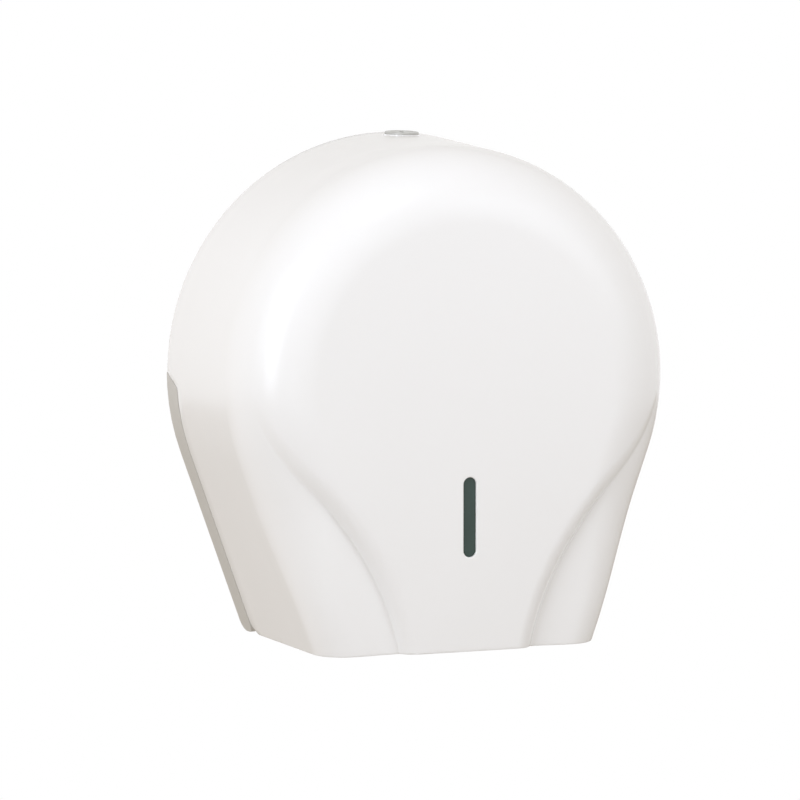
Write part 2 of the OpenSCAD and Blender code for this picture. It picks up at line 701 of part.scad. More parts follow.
// ---- Window ----
module window_lens() {
    color(window_green) difference() {
        union() {
            slab(front_inner - lens_t, front_inner) translate([0, -slot_drop])
                square([slot_w + 2 * lens_lip, slot_h + 2 * lens_ear], center = true);
            slab(front_inner - eps, cover_d - lens_recess) slot_shape(lens_play);
        }
        for (side = [-1, 1])
            slab(front_inner - lens_t - 1, front_inner + 0.2)
                translate([0, -slot_drop + side * lens_post_z]) circle(lens_post / 2 + lens_play);
    }
}
module window_clips() {
    color(steel) for (side = [-1, 1])
        slab(front_inner - lens_t - clip_t, front_inner - lens_t)
            translate([0, -slot_drop + side * lens_post_z]) difference() {
                circle(lens_post / 2 + clip_w);
                circle(lens_post / 2 + press_play);
            }
}

// ---- Tear strip ----
module tear_strip() {
    teeth = floor(strip_l / tooth_pitch);
    half = strip_l / 2;
    foot = -bottom_h + strip_lift;
    pitch = strip_l / teeth;
    color(steel) slab(front_inner - strip_boss - strip_t, front_inner - strip_boss) difference() {
        polygon(concat([[half, foot + tooth_h + strip_h], [-half, foot + tooth_h + strip_h]],
            [for (i = [0:teeth - 1]) let (x = -half + i * pitch)
                each [[x, foot + tooth_h], [x + pitch / 2, foot]]],
            [[half, foot + tooth_h]]));
        for (side = [-1, 1])
            translate([side * strip_screw_w / 2, strip_z]) circle(small_screw_d / 2 + head_play);
    }
}
module tear_strip_screws() {
    seat = front_inner - strip_boss - strip_t;
    color(steel) for (side = [-1, 1]) translate([side * strip_screw_w / 2, 0, strip_z]) {
        slab(seat - small_head_t, seat) circle(small_head_d / 2);
        slab(seat - eps, seat + strip_t + strip_bite) circle(pilot_r(small_screw_d) - press_play);
    }
}

// ---- Lock ----
module lock_housing() {
    color(lock_grey) lock_place() difference() {
        union() {
            translate([0, 0, lock_pad]) cylinder(h = lock_flange_t, r = lock_flange_d / 2);
            translate([0, 0, -lock_body_l]) cylinder(h = lock_body_l + lock_pad + eps, r = lock_body_d / 2);
        }
        translate([0, 0, -lock_body_l - 1]) cylinder(h = lock_body_l + 5, r = plug_d / 2 + plug_play);
        translate([0, 0, collar_z - plug_play]) cylinder(h = 5, r = plug_d / 2 + collar_w + plug_play);
    }
}
module lock_nut() {
    color(steel) lock_place() translate([0, 0, -nut_seat - nut_t]) difference() {
        cylinder(h = nut_t, r = nut_r, $fn = 6);
        translate([0, 0, -1]) cylinder(h = nut_t + 2, r = lock_body_d / 2 + press_play);
    }
}
module lock_plug() {
    color(lock_grey) lock_place() difference() {
        union() {
            translate([0, 0, -plug_foot]) cylinder(h = plug_foot + collar_z + eps, r = plug_d / 2);
            translate([0, 0, collar_z])
                cylinder(h = lock_pad + lock_flange_t - 0.2 - collar_z, r = plug_d / 2 + collar_w);
            translate([0, 0, -plug_foot - cam_t / 2 + eps]) cube([shank_w, shank_w, cam_t], center = true);
        }
        translate([-key_w / 2, -key_l / 2, -key_deep]) cube([key_w, key_l, key_deep + 5]);
        translate([0, 0, -plug_foot - cam_t - 1]) cylinder(h = 9, r = pilot_r(cam_screw_d));
    }
}
module lock_cam() {
    color(steel) lock_place() translate([0, 0, -plug_foot - cam_t]) linear_extrude(cam_t) difference() {
        union() {
            circle(cam_hub_r);
            translate([-cam_w / 2, 0]) square([cam_w, cam_reach - cam_w / 2]);
            translate([0, cam_reach - cam_w / 2]) circle(cam_w / 2);
        }
        square(shank_w + 0.1, center = true);
    }
}
module cam_screw() {
    color(steel) lock_place() {
        translate([0, 0, -plug_foot - cam_t - cam_head_t]) cylinder(h = cam_head_t, r = cam_head_d / 2);
        translate([0, 0, -plug_foot - cam_t - eps]) cylinder(h = 7, r = pilot_r(cam_screw_d) - press_play);
    }
}

back_plate();
spindle();
spindle_screws();
core_hub();
core_adapter();
hub_washer();
hub_screw();
strike_plate();
strike_screws();
hinge_pin_left();
hinge_pin_right();
front_cover();
window_lens();
window_clips();
tear_strip();
tear_strip_screws();
lock_housing();
lock_nut();
lock_plug();
lock_cam();
cam_screw();
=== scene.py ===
"""Jumbo toilet roll dispenser: its finished pieces and a plain studio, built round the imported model."""

import json
import math

import bmesh
import bpy
import numpy as np
from bpy.props import FloatProperty, FloatVectorProperty, IntProperty, PointerProperty
from mathutils import Matrix, Vector


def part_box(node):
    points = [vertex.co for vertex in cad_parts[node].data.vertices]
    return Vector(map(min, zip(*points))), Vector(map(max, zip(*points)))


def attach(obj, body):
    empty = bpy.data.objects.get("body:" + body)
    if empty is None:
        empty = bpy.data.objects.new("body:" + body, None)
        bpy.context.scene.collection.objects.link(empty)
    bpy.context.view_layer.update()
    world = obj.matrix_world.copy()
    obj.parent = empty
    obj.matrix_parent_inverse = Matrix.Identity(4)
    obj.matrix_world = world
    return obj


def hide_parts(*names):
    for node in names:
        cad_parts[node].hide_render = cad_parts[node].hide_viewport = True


bl_info = {
    "name": "Jumbo Roll Dispenser",
    "version": (1, 0, 0),
    "blender": (4, 5, 0),
    "location": "3D Viewport > Sidebar > Dispenser",
    "description": "Builds a wall dispenser for jumbo toilet rolls, with its finishes and a studio",
    "category": "Object",
}

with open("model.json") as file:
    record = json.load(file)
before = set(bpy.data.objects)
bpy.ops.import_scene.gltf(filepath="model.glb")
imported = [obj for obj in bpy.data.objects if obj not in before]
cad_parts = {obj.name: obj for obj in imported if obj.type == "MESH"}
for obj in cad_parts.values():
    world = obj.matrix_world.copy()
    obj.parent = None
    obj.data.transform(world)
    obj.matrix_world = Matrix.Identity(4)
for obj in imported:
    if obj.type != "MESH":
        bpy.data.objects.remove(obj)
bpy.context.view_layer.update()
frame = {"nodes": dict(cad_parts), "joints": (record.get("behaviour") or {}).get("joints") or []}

MM = 0.001
WELD = 0.001 * MM        # points nearer to each other than this are one
TOUCH = 0.01 * MM        # a place nearer to a surface than this lies on it
RUN_FIT = 0.06 * MM      # gap between a turning piece and its bore
NUT_SEAT = 0.7 * MM      # rise of the lock nut's seat inside the cover's wall
CRISP = 35               # degrees past which an edge stays sharp
JOINTS = {joint["name"]: joint for joint in frame["joints"]}
HINGE = Vector(JOINTS["cover_hinge"]["pos_m"])
LOCK = Vector(JOINTS["lock_turn"]["pos_m"])
LOCK_UP = -Vector(JOINTS["lock_turn"]["axis"])
COVER_LOW, COVER_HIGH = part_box("front_cover")
SPINDLE_LOW, SPINDLE_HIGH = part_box("spindle")
LENS_LOW, LENS_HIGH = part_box("window_lens")
STRIP_LOW, STRIP_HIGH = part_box("tear_strip")
PIN_LOW, PIN_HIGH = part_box("hinge_pin_right")


# ---- Sizes and colours that a user would change ----

class CoverSizes(bpy.types.PropertyGroup):
    """Sizes of the moulded cover."""

    draft: FloatProperty(
        name="Draft", description="Draft of the side walls", default=math.radians(4.35), unit="ROTATION")
    side_lean: FloatProperty(
        name="Side lean", description="Lean of the straight sides from upright",
        default=math.radians(19.6), unit="ROTATION")
    edge_r: FloatProperty(
        name="Edge radius", description="Radius of the round front edge", default=0.042, unit="LENGTH")
    wall: FloatProperty(
        name="Wall", description="Thickness of the moulded wall", default=0.0026, unit="LENGTH")
    sill_rise: FloatProperty(
        name="Sill rise", description="Rise of the bottom edge from the sides to the middle",
        default=0.0015, unit="LENGTH")
    belly_r: FloatProperty(
        name="Belly radius", description="Radius of the belly's round edge", default=0.135, unit="LENGTH")
    belly_rise: FloatProperty(
        name="Belly rise", description="Height of that edge's centre above the spindle",
        default=0.057, unit="LENGTH")
    neck_half_w: FloatProperty(
        name="Neck half width", description="Half width that the belly's neck narrows to",
        default=0.024, unit="LENGTH")
    neck_h: FloatProperty(
        name="Neck height", description="Height from the spindle down to the neck's narrowest place",
        default=0.183, unit="LENGTH")
    belly_edge_r: FloatProperty(
        name="Belly edge", description="Radius of the edge where the belly meets the wings",
        default=0.012, unit="LENGTH")
    belly_top_edge_r: FloatProperty(
        name="Belly edge at top", description="Radius of that edge where it begins",
        default=0.006, unit="LENGTH")
    wing_set: FloatProperty(
        name="Wing set-back", description="Set-back of the side wings behind the belly",
        default=0.007, unit="LENGTH")
    wing_top_edge_r: FloatProperty(
        name="Wing edge at top", description="Radius of the wings' front edge at the top",
        default=0.0325, unit="LENGTH")
    wing_edge_r: FloatProperty(
        name="Wing edge radius", description="Radius of the wings' front edge at the bottom",
        default=0.0195, unit="LENGTH")
    crease_soft: FloatProperty(
        name="Crease softness", description="Softness of the crease between belly and wing",
        default=0.0012, unit="LENGTH")
    rear_slope: FloatProperty(
        name="Rear slope", description="Length of the slope where the plate's skirt begins",
        default=0.008, unit="LENGTH")
    slot_w: FloatProperty(
        name="Slot width", description="Width of the level slot", default=0.0075, unit="LENGTH")
    slot_h: FloatProperty(
        name="Slot height", description="Height of the level slot", default=0.044, unit="LENGTH")
    rim_round: FloatProperty(
        name="Rim rounding", description="Radius of the cover's and the slot's rims",
        default=0.0005, unit="LENGTH")


class FittingSizes(bpy.types.PropertyGroup):
    """Sizes of the hinge, the window, the lock, the spindle and the tear strip."""

    knuckle_r: FloatProperty(
        name="Knuckle radius", description="Radius of the hinge knuckles", default=0.0065, unit="LENGTH")
    knuckle_l: FloatProperty(
        name="Knuckle length", description="Length of the cover's knuckles", default=0.007, unit="LENGTH")
    pin_d: FloatProperty(
        name="Pin diameter", description="Diameter of the hinge pins", default=0.005, unit="LENGTH")
    pin_head_d: FloatProperty(
        name="Pin head", description="Diameter of the hinge pins' heads", default=0.0085, unit="LENGTH")
    pin_head_t: FloatProperty(
        name="Pin head thickness", description="Thickness of the hinge pins' heads",
        default=0.002, unit="LENGTH")
    post_d: FloatProperty(
        name="Window post", description="Diameter of the two posts that hold the window",
        default=0.003, unit="LENGTH")
    screw_d: FloatProperty(
        name="Small screw", description="Diameter of the small screws", default=0.003, unit="LENGTH")
    boss_wall: FloatProperty(
        name="Boss wall", description="Wall of the tear strip's bosses", default=0.002, unit="LENGTH")
    strip_h: FloatProperty(
        name="Strip height", description="Height of the tear strip without its teeth",
        default=0.012, unit="LENGTH")
    teeth: IntProperty(
        name="Teeth", description="Number of teeth on the tear strip", default=29, min=3)
    lock_flange_d: FloatProperty(
        name="Lock flange", description="Diameter of the lock's visible flange",
        default=0.0195, unit="LENGTH")
    lock_flange_t: FloatProperty(
        name="Lock flange thickness", description="Thickness of the lock's flange",
        default=0.0013, unit="LENGTH")
    lock_pad: FloatProperty(
        name="Lock pad", description="Rise of the flat pad under the lock's flange",
        default=0.0002, unit="LENGTH")
    lock_d: FloatProperty(
        name="Lock body", description="Diameter of the lock's threaded body", default=0.016, unit="LENGTH")
    lock_l: FloatProperty(
        name="Lock body length", description="Length of the lock's body below the cover",
        default=0.016, unit="LENGTH")
    plug_d: FloatProperty(
        name="Lock plug", description="Diameter of the lock's turning plug", default=0.011, unit="LENGTH")
    nut_af: FloatProperty(
        name="Lock nut", description="Width across the flats of the lock's nut", default=0.02, unit="LENGTH")
    nut_t: FloatProperty(
        name="Lock nut thickness", description="Thickness of the lock's nut", default=0.003, unit="LENGTH")
    spindle_d: FloatProperty(
        name="Spindle diameter", description="Diameter of the spindle", default=0.02, unit="LENGTH")
    spindle_bore: FloatProperty(
        name="Spindle bore", description="Diameter of the hollow in the spindle",
        default=0.014, unit="LENGTH")
    flange_t: FloatProperty(
        name="Flange thickness", description="Thickness of the spindle's flange",
        default=0.0035, unit="LENGTH")


class Finishes(bpy.types.PropertyGroup):
    """Colours of the moulded and plated finishes."""

    cover: FloatVectorProperty(
        name="Cover", description="Gloss white of the cover", subtype="COLOR", default=(0.84, 0.836, 0.826))
    plate: FloatVectorProperty(
        name="Plate", description="Grey of the back plate", subtype="COLOR", default=(0.55, 0.535, 0.50))
    hub: FloatVectorProperty(
        name="Hub", description="Grey of the roll hub", subtype="COLOR", default=(0.52, 0.51, 0.48))
    adapter: FloatVectorProperty(
        name="Adapter", description="White of the core adapter", subtype="COLOR", default=(0.80, 0.795, 0.78))
    window: FloatVectorProperty(
        name="Window", description="Smoked green of the level window",
        default=(0.03, 0.055, 0.046), subtype="COLOR")
    lock: FloatVectorProperty(
        name="Lock", description="Satin nickel of the lock", subtype="COLOR", default=(0.56, 0.555, 0.53))
    steel: FloatVectorProperty(
        name="Steel", description="Plated steel of screws, pins and the strike",
        default=(0.66, 0.665, 0.67), subtype="COLOR")


class Studio(bpy.types.PropertyGroup):
    """Camera and light of the studio."""

    azimuth: FloatProperty(
        name="Azimuth", description="Turn of the camera round the dispenser",
        default=math.radians(-20.3), unit="ROTATION")
    elevation: FloatProperty(
        name="Elevation", description="Rise of the camera above the spindle",
        default=math.radians(4.5), unit="ROTATION")
    distance: FloatProperty(
        name="Distance", description="Distance from the camera to the spindle's foot",
        default=1.987, unit="LENGTH")
    lens: FloatProperty(
        name="Lens", description="Focal length in millimetres", default=154.7)
    shift_x: FloatProperty(
        name="Shift across", description="Sideways shift of the frame", default=0.01125)
    shift_y: FloatProperty(
        name="Shift up", description="Upward shift of the frame", default=-0.04306)
    ambient: FloatProperty(
        name="Ambient", description="Strength of the room's even light", default=0.42)
    ambient_tint: FloatVectorProperty(
        name="Ambient tint", description="Tint of the room's even light",
        default=(1.0, 0.847, 0.66), subtype="COLOR")
    lamp_tint: FloatVectorProperty(
        name="Lamp tint", description="Tint of the soft boxes", subtype="COLOR", default=(0.82, 0.888, 1.0))
    floor_drop: FloatProperty(
        name="Floor drop", description="Height of the spindle above the floor", default=1.1, unit="LENGTH")


# ---- Node trees ----

class Wire:
    """A node's output that adds Math nodes to its tree where it stands in an expression."""

    def __init__(self, board, socket):
        self.board = board
        self.socket = socket

    def math(self, operation, first, second=0.0):
        return self.board.node("ShaderNodeMath", {0: first, 1: second}, operation=operation)

    def __add__(self, other):
        return self.math("ADD", self, other)

    def __sub__(self, other):
        return self.math("SUBTRACT", self, other)

    def __rsub__(self, other):
        return self.math("SUBTRACT", other, self)

    def __mul__(self, other):
        return self.math("MULTIPLY", self, other)

    def __truediv__(self, other):
        return self.math("DIVIDE", self, other)

    def __rtruediv__(self, other):
        return self.math("DIVIDE", other, self)

    __radd__ = __add__
    __rmul__ = __mul__

    def modulo(self, other):
        return self.math("MODULO", self, other)

    def below(self, other):
        return self.math("LESS_THAN", self, other)

    def rounded(self):
        return self.math("ROUND", self)

    def cos(self):
        return self.math("COSINE", self)

    def sin(self):
        return self.math("SINE", self)

    def root(self):
        return self.math("SQRT", self)

    def larger(self, other):
        return self.math("MAXIMUM", self, other)

    def beside(self, name):
        """Another output of the same node."""
        return Wire(self.board, self.socket.node.outputs[name])


def picked(sockets, key):
    """A socket by its place in the list, its name or its identifier."""
    if isinstance(key, int) or key in sockets:
        return sockets[key]
    return next(socket for socket in sockets if socket.identifier == key)


class Board:
    """A node tree that is filled one node at a time."""

    def __init__(self, tree):
        self.tree = tree

    def node(self, kind, sockets=None, output=0, **settings):
        """Adds a node with its settings, then the values or wires of its sockets, and returns one output."""
        node = self.tree.nodes.new(kind)
        for name, value in settings.items():
            setattr(node, name, value)
        for key, value in (sockets or {}).items():
            for item in value if isinstance(value, list) else [value]:
                if isinstance(item, Wire):
                    self.tree.links.new(item.socket, picked(node.inputs, key))
                else:
                    picked(node.inputs, key).default_value = item
        return Wire(self, picked(node.outputs, output)) if node.outputs else None

    def blend(self, share, first, second):
        """A colour between two colours."""
        colours = {"A_Color": (*first, 1), "B_Color": (*second, 1)}
        return self.node("ShaderNodeMix", {"Factor_Float": share, **colours}, output="Result_Color",
                         data_type="RGBA")


class Finish(Board):
    """A material made of nodes, on the piece's own coordinates."""

    def __init__(self, name):
        self.material = bpy.data.materials.new(name)
        self.material.use_nodes = True
        super().__init__(self.material.node_tree)
        self.tree.nodes.clear()
        self.place = self.node("ShaderNodeTexCoord", output="Object")

    def stretched(self, scale):
        """Coordinates with each axis scaled."""
        return self.node("ShaderNodeMapping", {"Vector": self.place, "Scale": scale})

    def noise(self, size, detail=2.0, place=None):
        """Soft noise from 0 to 1 whose spots are about that size."""
        return self.node("ShaderNodeTexNoise", {"Vector": place or self.place, "Scale": 1 / size,
                                                "Detail": detail})

    def ramp(self, value, low, high):
        """0 below low, 1 above high and smooth between them."""
        return self.node("ShaderNodeMapRange", {"Value": value, "From Min": low, "From Max": high},
                         interpolation_type="SMOOTHSTEP")

    def bump(self, height, depth):
        """Bumps of that depth in metres."""
        return self.node("ShaderNodeBump", {"Height": height, "Distance": depth, "Strength": 1.0})

    def surface(self, **sockets):
        """Ends the material in one surface shader."""
        named = {key.replace("_", " ").title().replace("Ior", "IOR"): value for key, value in sockets.items()}
        shader = self.node("ShaderNodeBsdfPrincipled", named)
        self.node("ShaderNodeOutputMaterial", {"Surface": shader})
        return self.material


# ---- Finishes ----

def shade_of(colour, share):
    """A colour made darker or lighter by a share."""
    return tuple(part * share for part in colour)


def moulded(name, colour, gloss, grain, grain_depth, drift=0.015, cloud=0.09, touch=0.035, wear=0.05):
    """Moulded plastic: a slow drift of its colour, a little uneven gloss and the grain of its mould."""
    finish = Finish(name)
    clouds = finish.noise(cloud, detail=3)
    tone = finish.blend(clouds, shade_of(colour, 1 - drift), shade_of(colour, 1 + drift))
    handled = finish.ramp(finish.noise(touch, detail=5), low=0.45, high=0.75)
    swell, swell_share = grain * 7, 0.6
    texture = finish.noise(grain) + finish.noise(swell) * swell_share
    return finish.surface(base_color=tone, roughness=gloss + handled * wear, ior=1.5,
                          normal=finish.bump(texture, grain_depth))


def plated(name, colour, gloss, brush, hair=0.0006, hair_depth=3e-6, unevenness=0.1, spot=0.006,
           dulling=0.12, tarnish=0.14):
    """Plated or bare metal: brushed along one axis, with duller spots where it has been touched."""
    finish = Finish(name)
    brushed = finish.noise(hair, detail=3, place=finish.stretched(brush))
    dull = finish.ramp(finish.noise(spot, detail=4), low=0.5, high=0.8)
    tone = finish.blend(dull, colour, shade_of(colour, 1 - tarnish))
    return finish.surface(base_color=tone, metallic=1.0,
                          roughness=gloss + brushed * unevenness + dull * dulling,
                          normal=finish.bump(brushed, hair_depth))


def smoked(name, colour, gloss, wave=0.012, wave_depth=5e-6, drift=0.12, spot=0.004, haze=0.08):
    """Smoked window plastic: dark, polished and faintly uneven."""
    finish = Finish(name)
    uneven = finish.noise(wave)
    tone = finish.blend(uneven, shade_of(colour, 1 - drift), shade_of(colour, 1 + drift))
    hazed = finish.ramp(finish.noise(spot, detail=4), low=0.5, high=0.8)
    return finish.surface(base_color=tone, roughness=gloss + hazed * haze, ior=1.49,
                          normal=finish.bump(uneven, wave_depth))


# Each slot's recipe, the colour it takes and the recipe's own values, with lengths in metres.
RECIPES = {
    "cover_white": (moulded, "cover", {"gloss": 0.2, "grain": 0.003, "grain_depth": 4e-6, "drift": 0.004}),
    "plate_grey": (moulded, "plate", {"gloss": 0.46, "grain": 0.0007, "grain_depth": 3e-5}),
    "hub_grey": (moulded, "hub", {"gloss": 0.38, "grain": 0.0006, "grain_depth": 2e-5}),
    "adapter_white": (moulded, "adapter",
                      {"gloss": 0.34, "grain": 0.0008, "grain_depth": 1e-5, "drift": 0.008}),
    "window_green": (smoked, "window", {"gloss": 0.14}),
    "lock_grey": (plated, "lock", {"gloss": 0.4, "brush": (1, 1, 6)}),
    "steel": (plated, "steel", {"gloss": 0.24, "brush": (0.1, 1, 1)}),
}


def finish_for(slot):
    """The material of a slot, made when it is first asked for."""
    name = slot + "_finish"
    if name in bpy.data.materials:
        return bpy.data.materials[name]
    recipe, colour, values = RECIPES[slot]
    return recipe(name, getattr(bpy.context.scene.dispenser_finishes, colour), **values)


# ---- Meshes ----

def piece_of(name, points, faces):
    """A new object in the scene, made of points and faces."""
    mesh = bpy.data.meshes.new(name)
    mesh.from_pydata([tuple(point) for point in points], [], faces)
    piece = bpy.data.objects.new(name, mesh)
    bpy.context.scene.collection.objects.link(piece)
    return piece


def settled(piece):
    """Turns what a piece's modifiers make of it into its own mesh."""
    depsgraph = bpy.context.evaluated_depsgraph_get()
    mesh = bpy.data.meshes.new_from_object(piece.evaluated_get(depsgraph))
    piece.modifiers.clear()
    piece.data = mesh
    return piece


def shaped(piece, tools, operation):
    """Unites tools with a piece, or cuts them out of it, and removes the tools."""
    for tool in tools:
        modifier = piece.modifiers.new("shape", "BOOLEAN")
        modifier.operation = operation
        modifier.solver = "EXACT"
        modifier.object = tool
    settled(piece)
    for tool in tools:
        bpy.data.objects.remove(tool)
    return piece


def softened(piece, edge, segments=2):
    """Breaks a piece's sharp edges with small round bevels."""
    modifier = piece.modifiers.new("edges", "BEVEL")
    modifier.width = edge
    modifier.segments = segments
    modifier.limit_method = "ANGLE"
    modifier.angle_limit = math.radians(CRISP)
    return settled(piece)


def shaded(piece, crisp=CRISP):
    """Smooth shading that stays crisp at edges sharper than an angle."""
    piece.data.shade_smooth()
    piece.data.set_sharp_from_angle(angle=math.radians(crisp))
    return piece


def levelled(piece, broad_face_weight=80):
    """Shading that leaves broad flat faces flat, so that the bevels beside them carry the turn."""
    modifier = shaded(piece).modifiers.new("flats", "WEIGHTED_NORMAL")
    modifier.keep_sharp = True
    modifier.weight = broad_face_weight
    return settled(piece)


def fitted(piece, body, slot, *nodes):
    """Gives a piece its finish and sets it in the frame, in place of the nodes that it stands for."""
    piece.data.materials.clear()
    piece.data.materials.append(finish_for(slot))
    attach(piece, body)
    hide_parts(*nodes)
    return piece


def copy_of(name, node, level=math.radians(0.5)):
    """A copy of a node's solid, with triangles that lie level with each other joined into whole faces."""
    piece = bpy.data.objects.new(name, frame["nodes"][node].data.copy())
    bpy.context.scene.collection.objects.link(piece)
    solid = bmesh.new()
    solid.from_mesh(piece.data)
    bmesh.ops.remove_doubles(solid, verts=solid.verts, dist=WELD)
    bmesh.ops.dissolve_limit(solid, angle_limit=level, verts=solid.verts, edges=solid.edges)
    for face in solid.faces:
        face.smooth = True
    solid.to_mesh(piece.data)
    solid.free()
    return piece


def eased_copy(name, node, body, slot, edge, segments=2):
    """A node's own solid with its edges broken, dressed and set in the node's place."""
    piece = softened(copy_of(name, node), edge, segments)
    return fitted(levelled(piece), body, slot, node)


def toward(direction):
    """The turn that takes Z to a direction, keeping X level where it can."""
    return Vector(direction).to_track_quat("Z", "Y").to_matrix().to_4x4()


def turned(name, profile, place=(0, 0, 0), direction=(0, -1, 0), steps=96, thread=None):
    """A turned piece, from a profile of (radius, height) that closes on itself or ends on the axis."""
    on_axis = profile[0][0] == 0
    spin = Matrix.Translation(place) @ toward(direction)
    rings = [(r, h) for r, h in profile if r > 0]
    points = []
    for r, h in rings:
        for turn in (math.tau * k / steps for k in range(steps)):
            radius = thread(r, h, turn) if thread else r
            points.append(spin @ Vector((radius * math.cos(turn), radius * math.sin(turn), h)))
    last = len(rings) if not on_axis else len(rings) - 1
    faces = [(i * steps + k, i * steps + (k + 1) % steps,
              (i + 1) % len(rings) * steps + (k + 1) % steps, (i + 1) % len(rings) * steps + k)
             for i in range(last) for k in range(steps)]
    if on_axis:
        for ring, (_, height) in ((0, profile[0]), (len(rings) - 1, profile[-1])):
            points.append(spin @ Vector((0, 0, height)))
            loop = [(ring * steps + k, ring * steps + (k + 1) % steps) for k in range(steps)]
            faces += [(b, a, len(points) - 1) if ring == 0 else (a, b, len(points) - 1) for a, b in loop]
    return piece_of(name, points, faces)


def thread_of(radius, low, high, pitch, depth):
    """A screw thread's radius at a place on a turned piece, cut into it and faded out at both ends."""
    def thread(r, h, turn):
        if abs(r - radius) > TOUCH or not low < h < high:
            return r
        fade = min((h - low) / pitch, (high - h) / pitch, 1)
        return r - depth * fade * (0.5 - 0.5 * math.cos(turn - math.tau * h / pitch))
    return thread


def threaded_run(radius, low, high, pitch, steps=6):
    """The rings of a profile along a threaded length."""
    count = math.ceil((high - low) / pitch * steps)
    return [(radius, low + (high - low) * i / count, 0) for i in range(count + 1)]


def rounded(corners, steps=4):
    """A profile whose corners, given as (radius, height, rounding), are turned into small arcs."""
    profile = []
    for i, (r, h, rounding) in enumerate(corners):
        here = Vector((r, h))
        if rounding == 0:
            profile.append((r, h))
            continue
        before = (Vector(corners[i - 1][:2]) - here).normalized()
        after = (Vector(corners[(i + 1) % len(corners)][:2]) - here).normalized()
        half = before.angle(after) / 2
        centre = here + (before + after).normalized() * (rounding / math.sin(half))
        reach = rounding / math.tan(half)
        first = here + before * reach - centre
        turn = math.pi - 2 * half
        side = 1 if before.cross(after) < 0 else -1
        for k in range(steps + 1):
            spoke = Matrix.Rotation(side * turn * k / steps, 2) @ first
            profile.append(tuple(centre + spoke))
    return profile


def rod(name, place, direction, radius, length, steps=64):
    """A plain rod, as a tool that shapes another piece."""
    return turned(name, [(0, 0), (radius, 0), (radius, length), (0, length)], place, direction, steps)


# ---- Cover ----

def smooth(x, start, end):
    """0 before start, 1 after end and a soft step between them."""
    t = np.clip((x - start) / (end - start), 0, 1)
    return t * t * (3 - 2 * t)


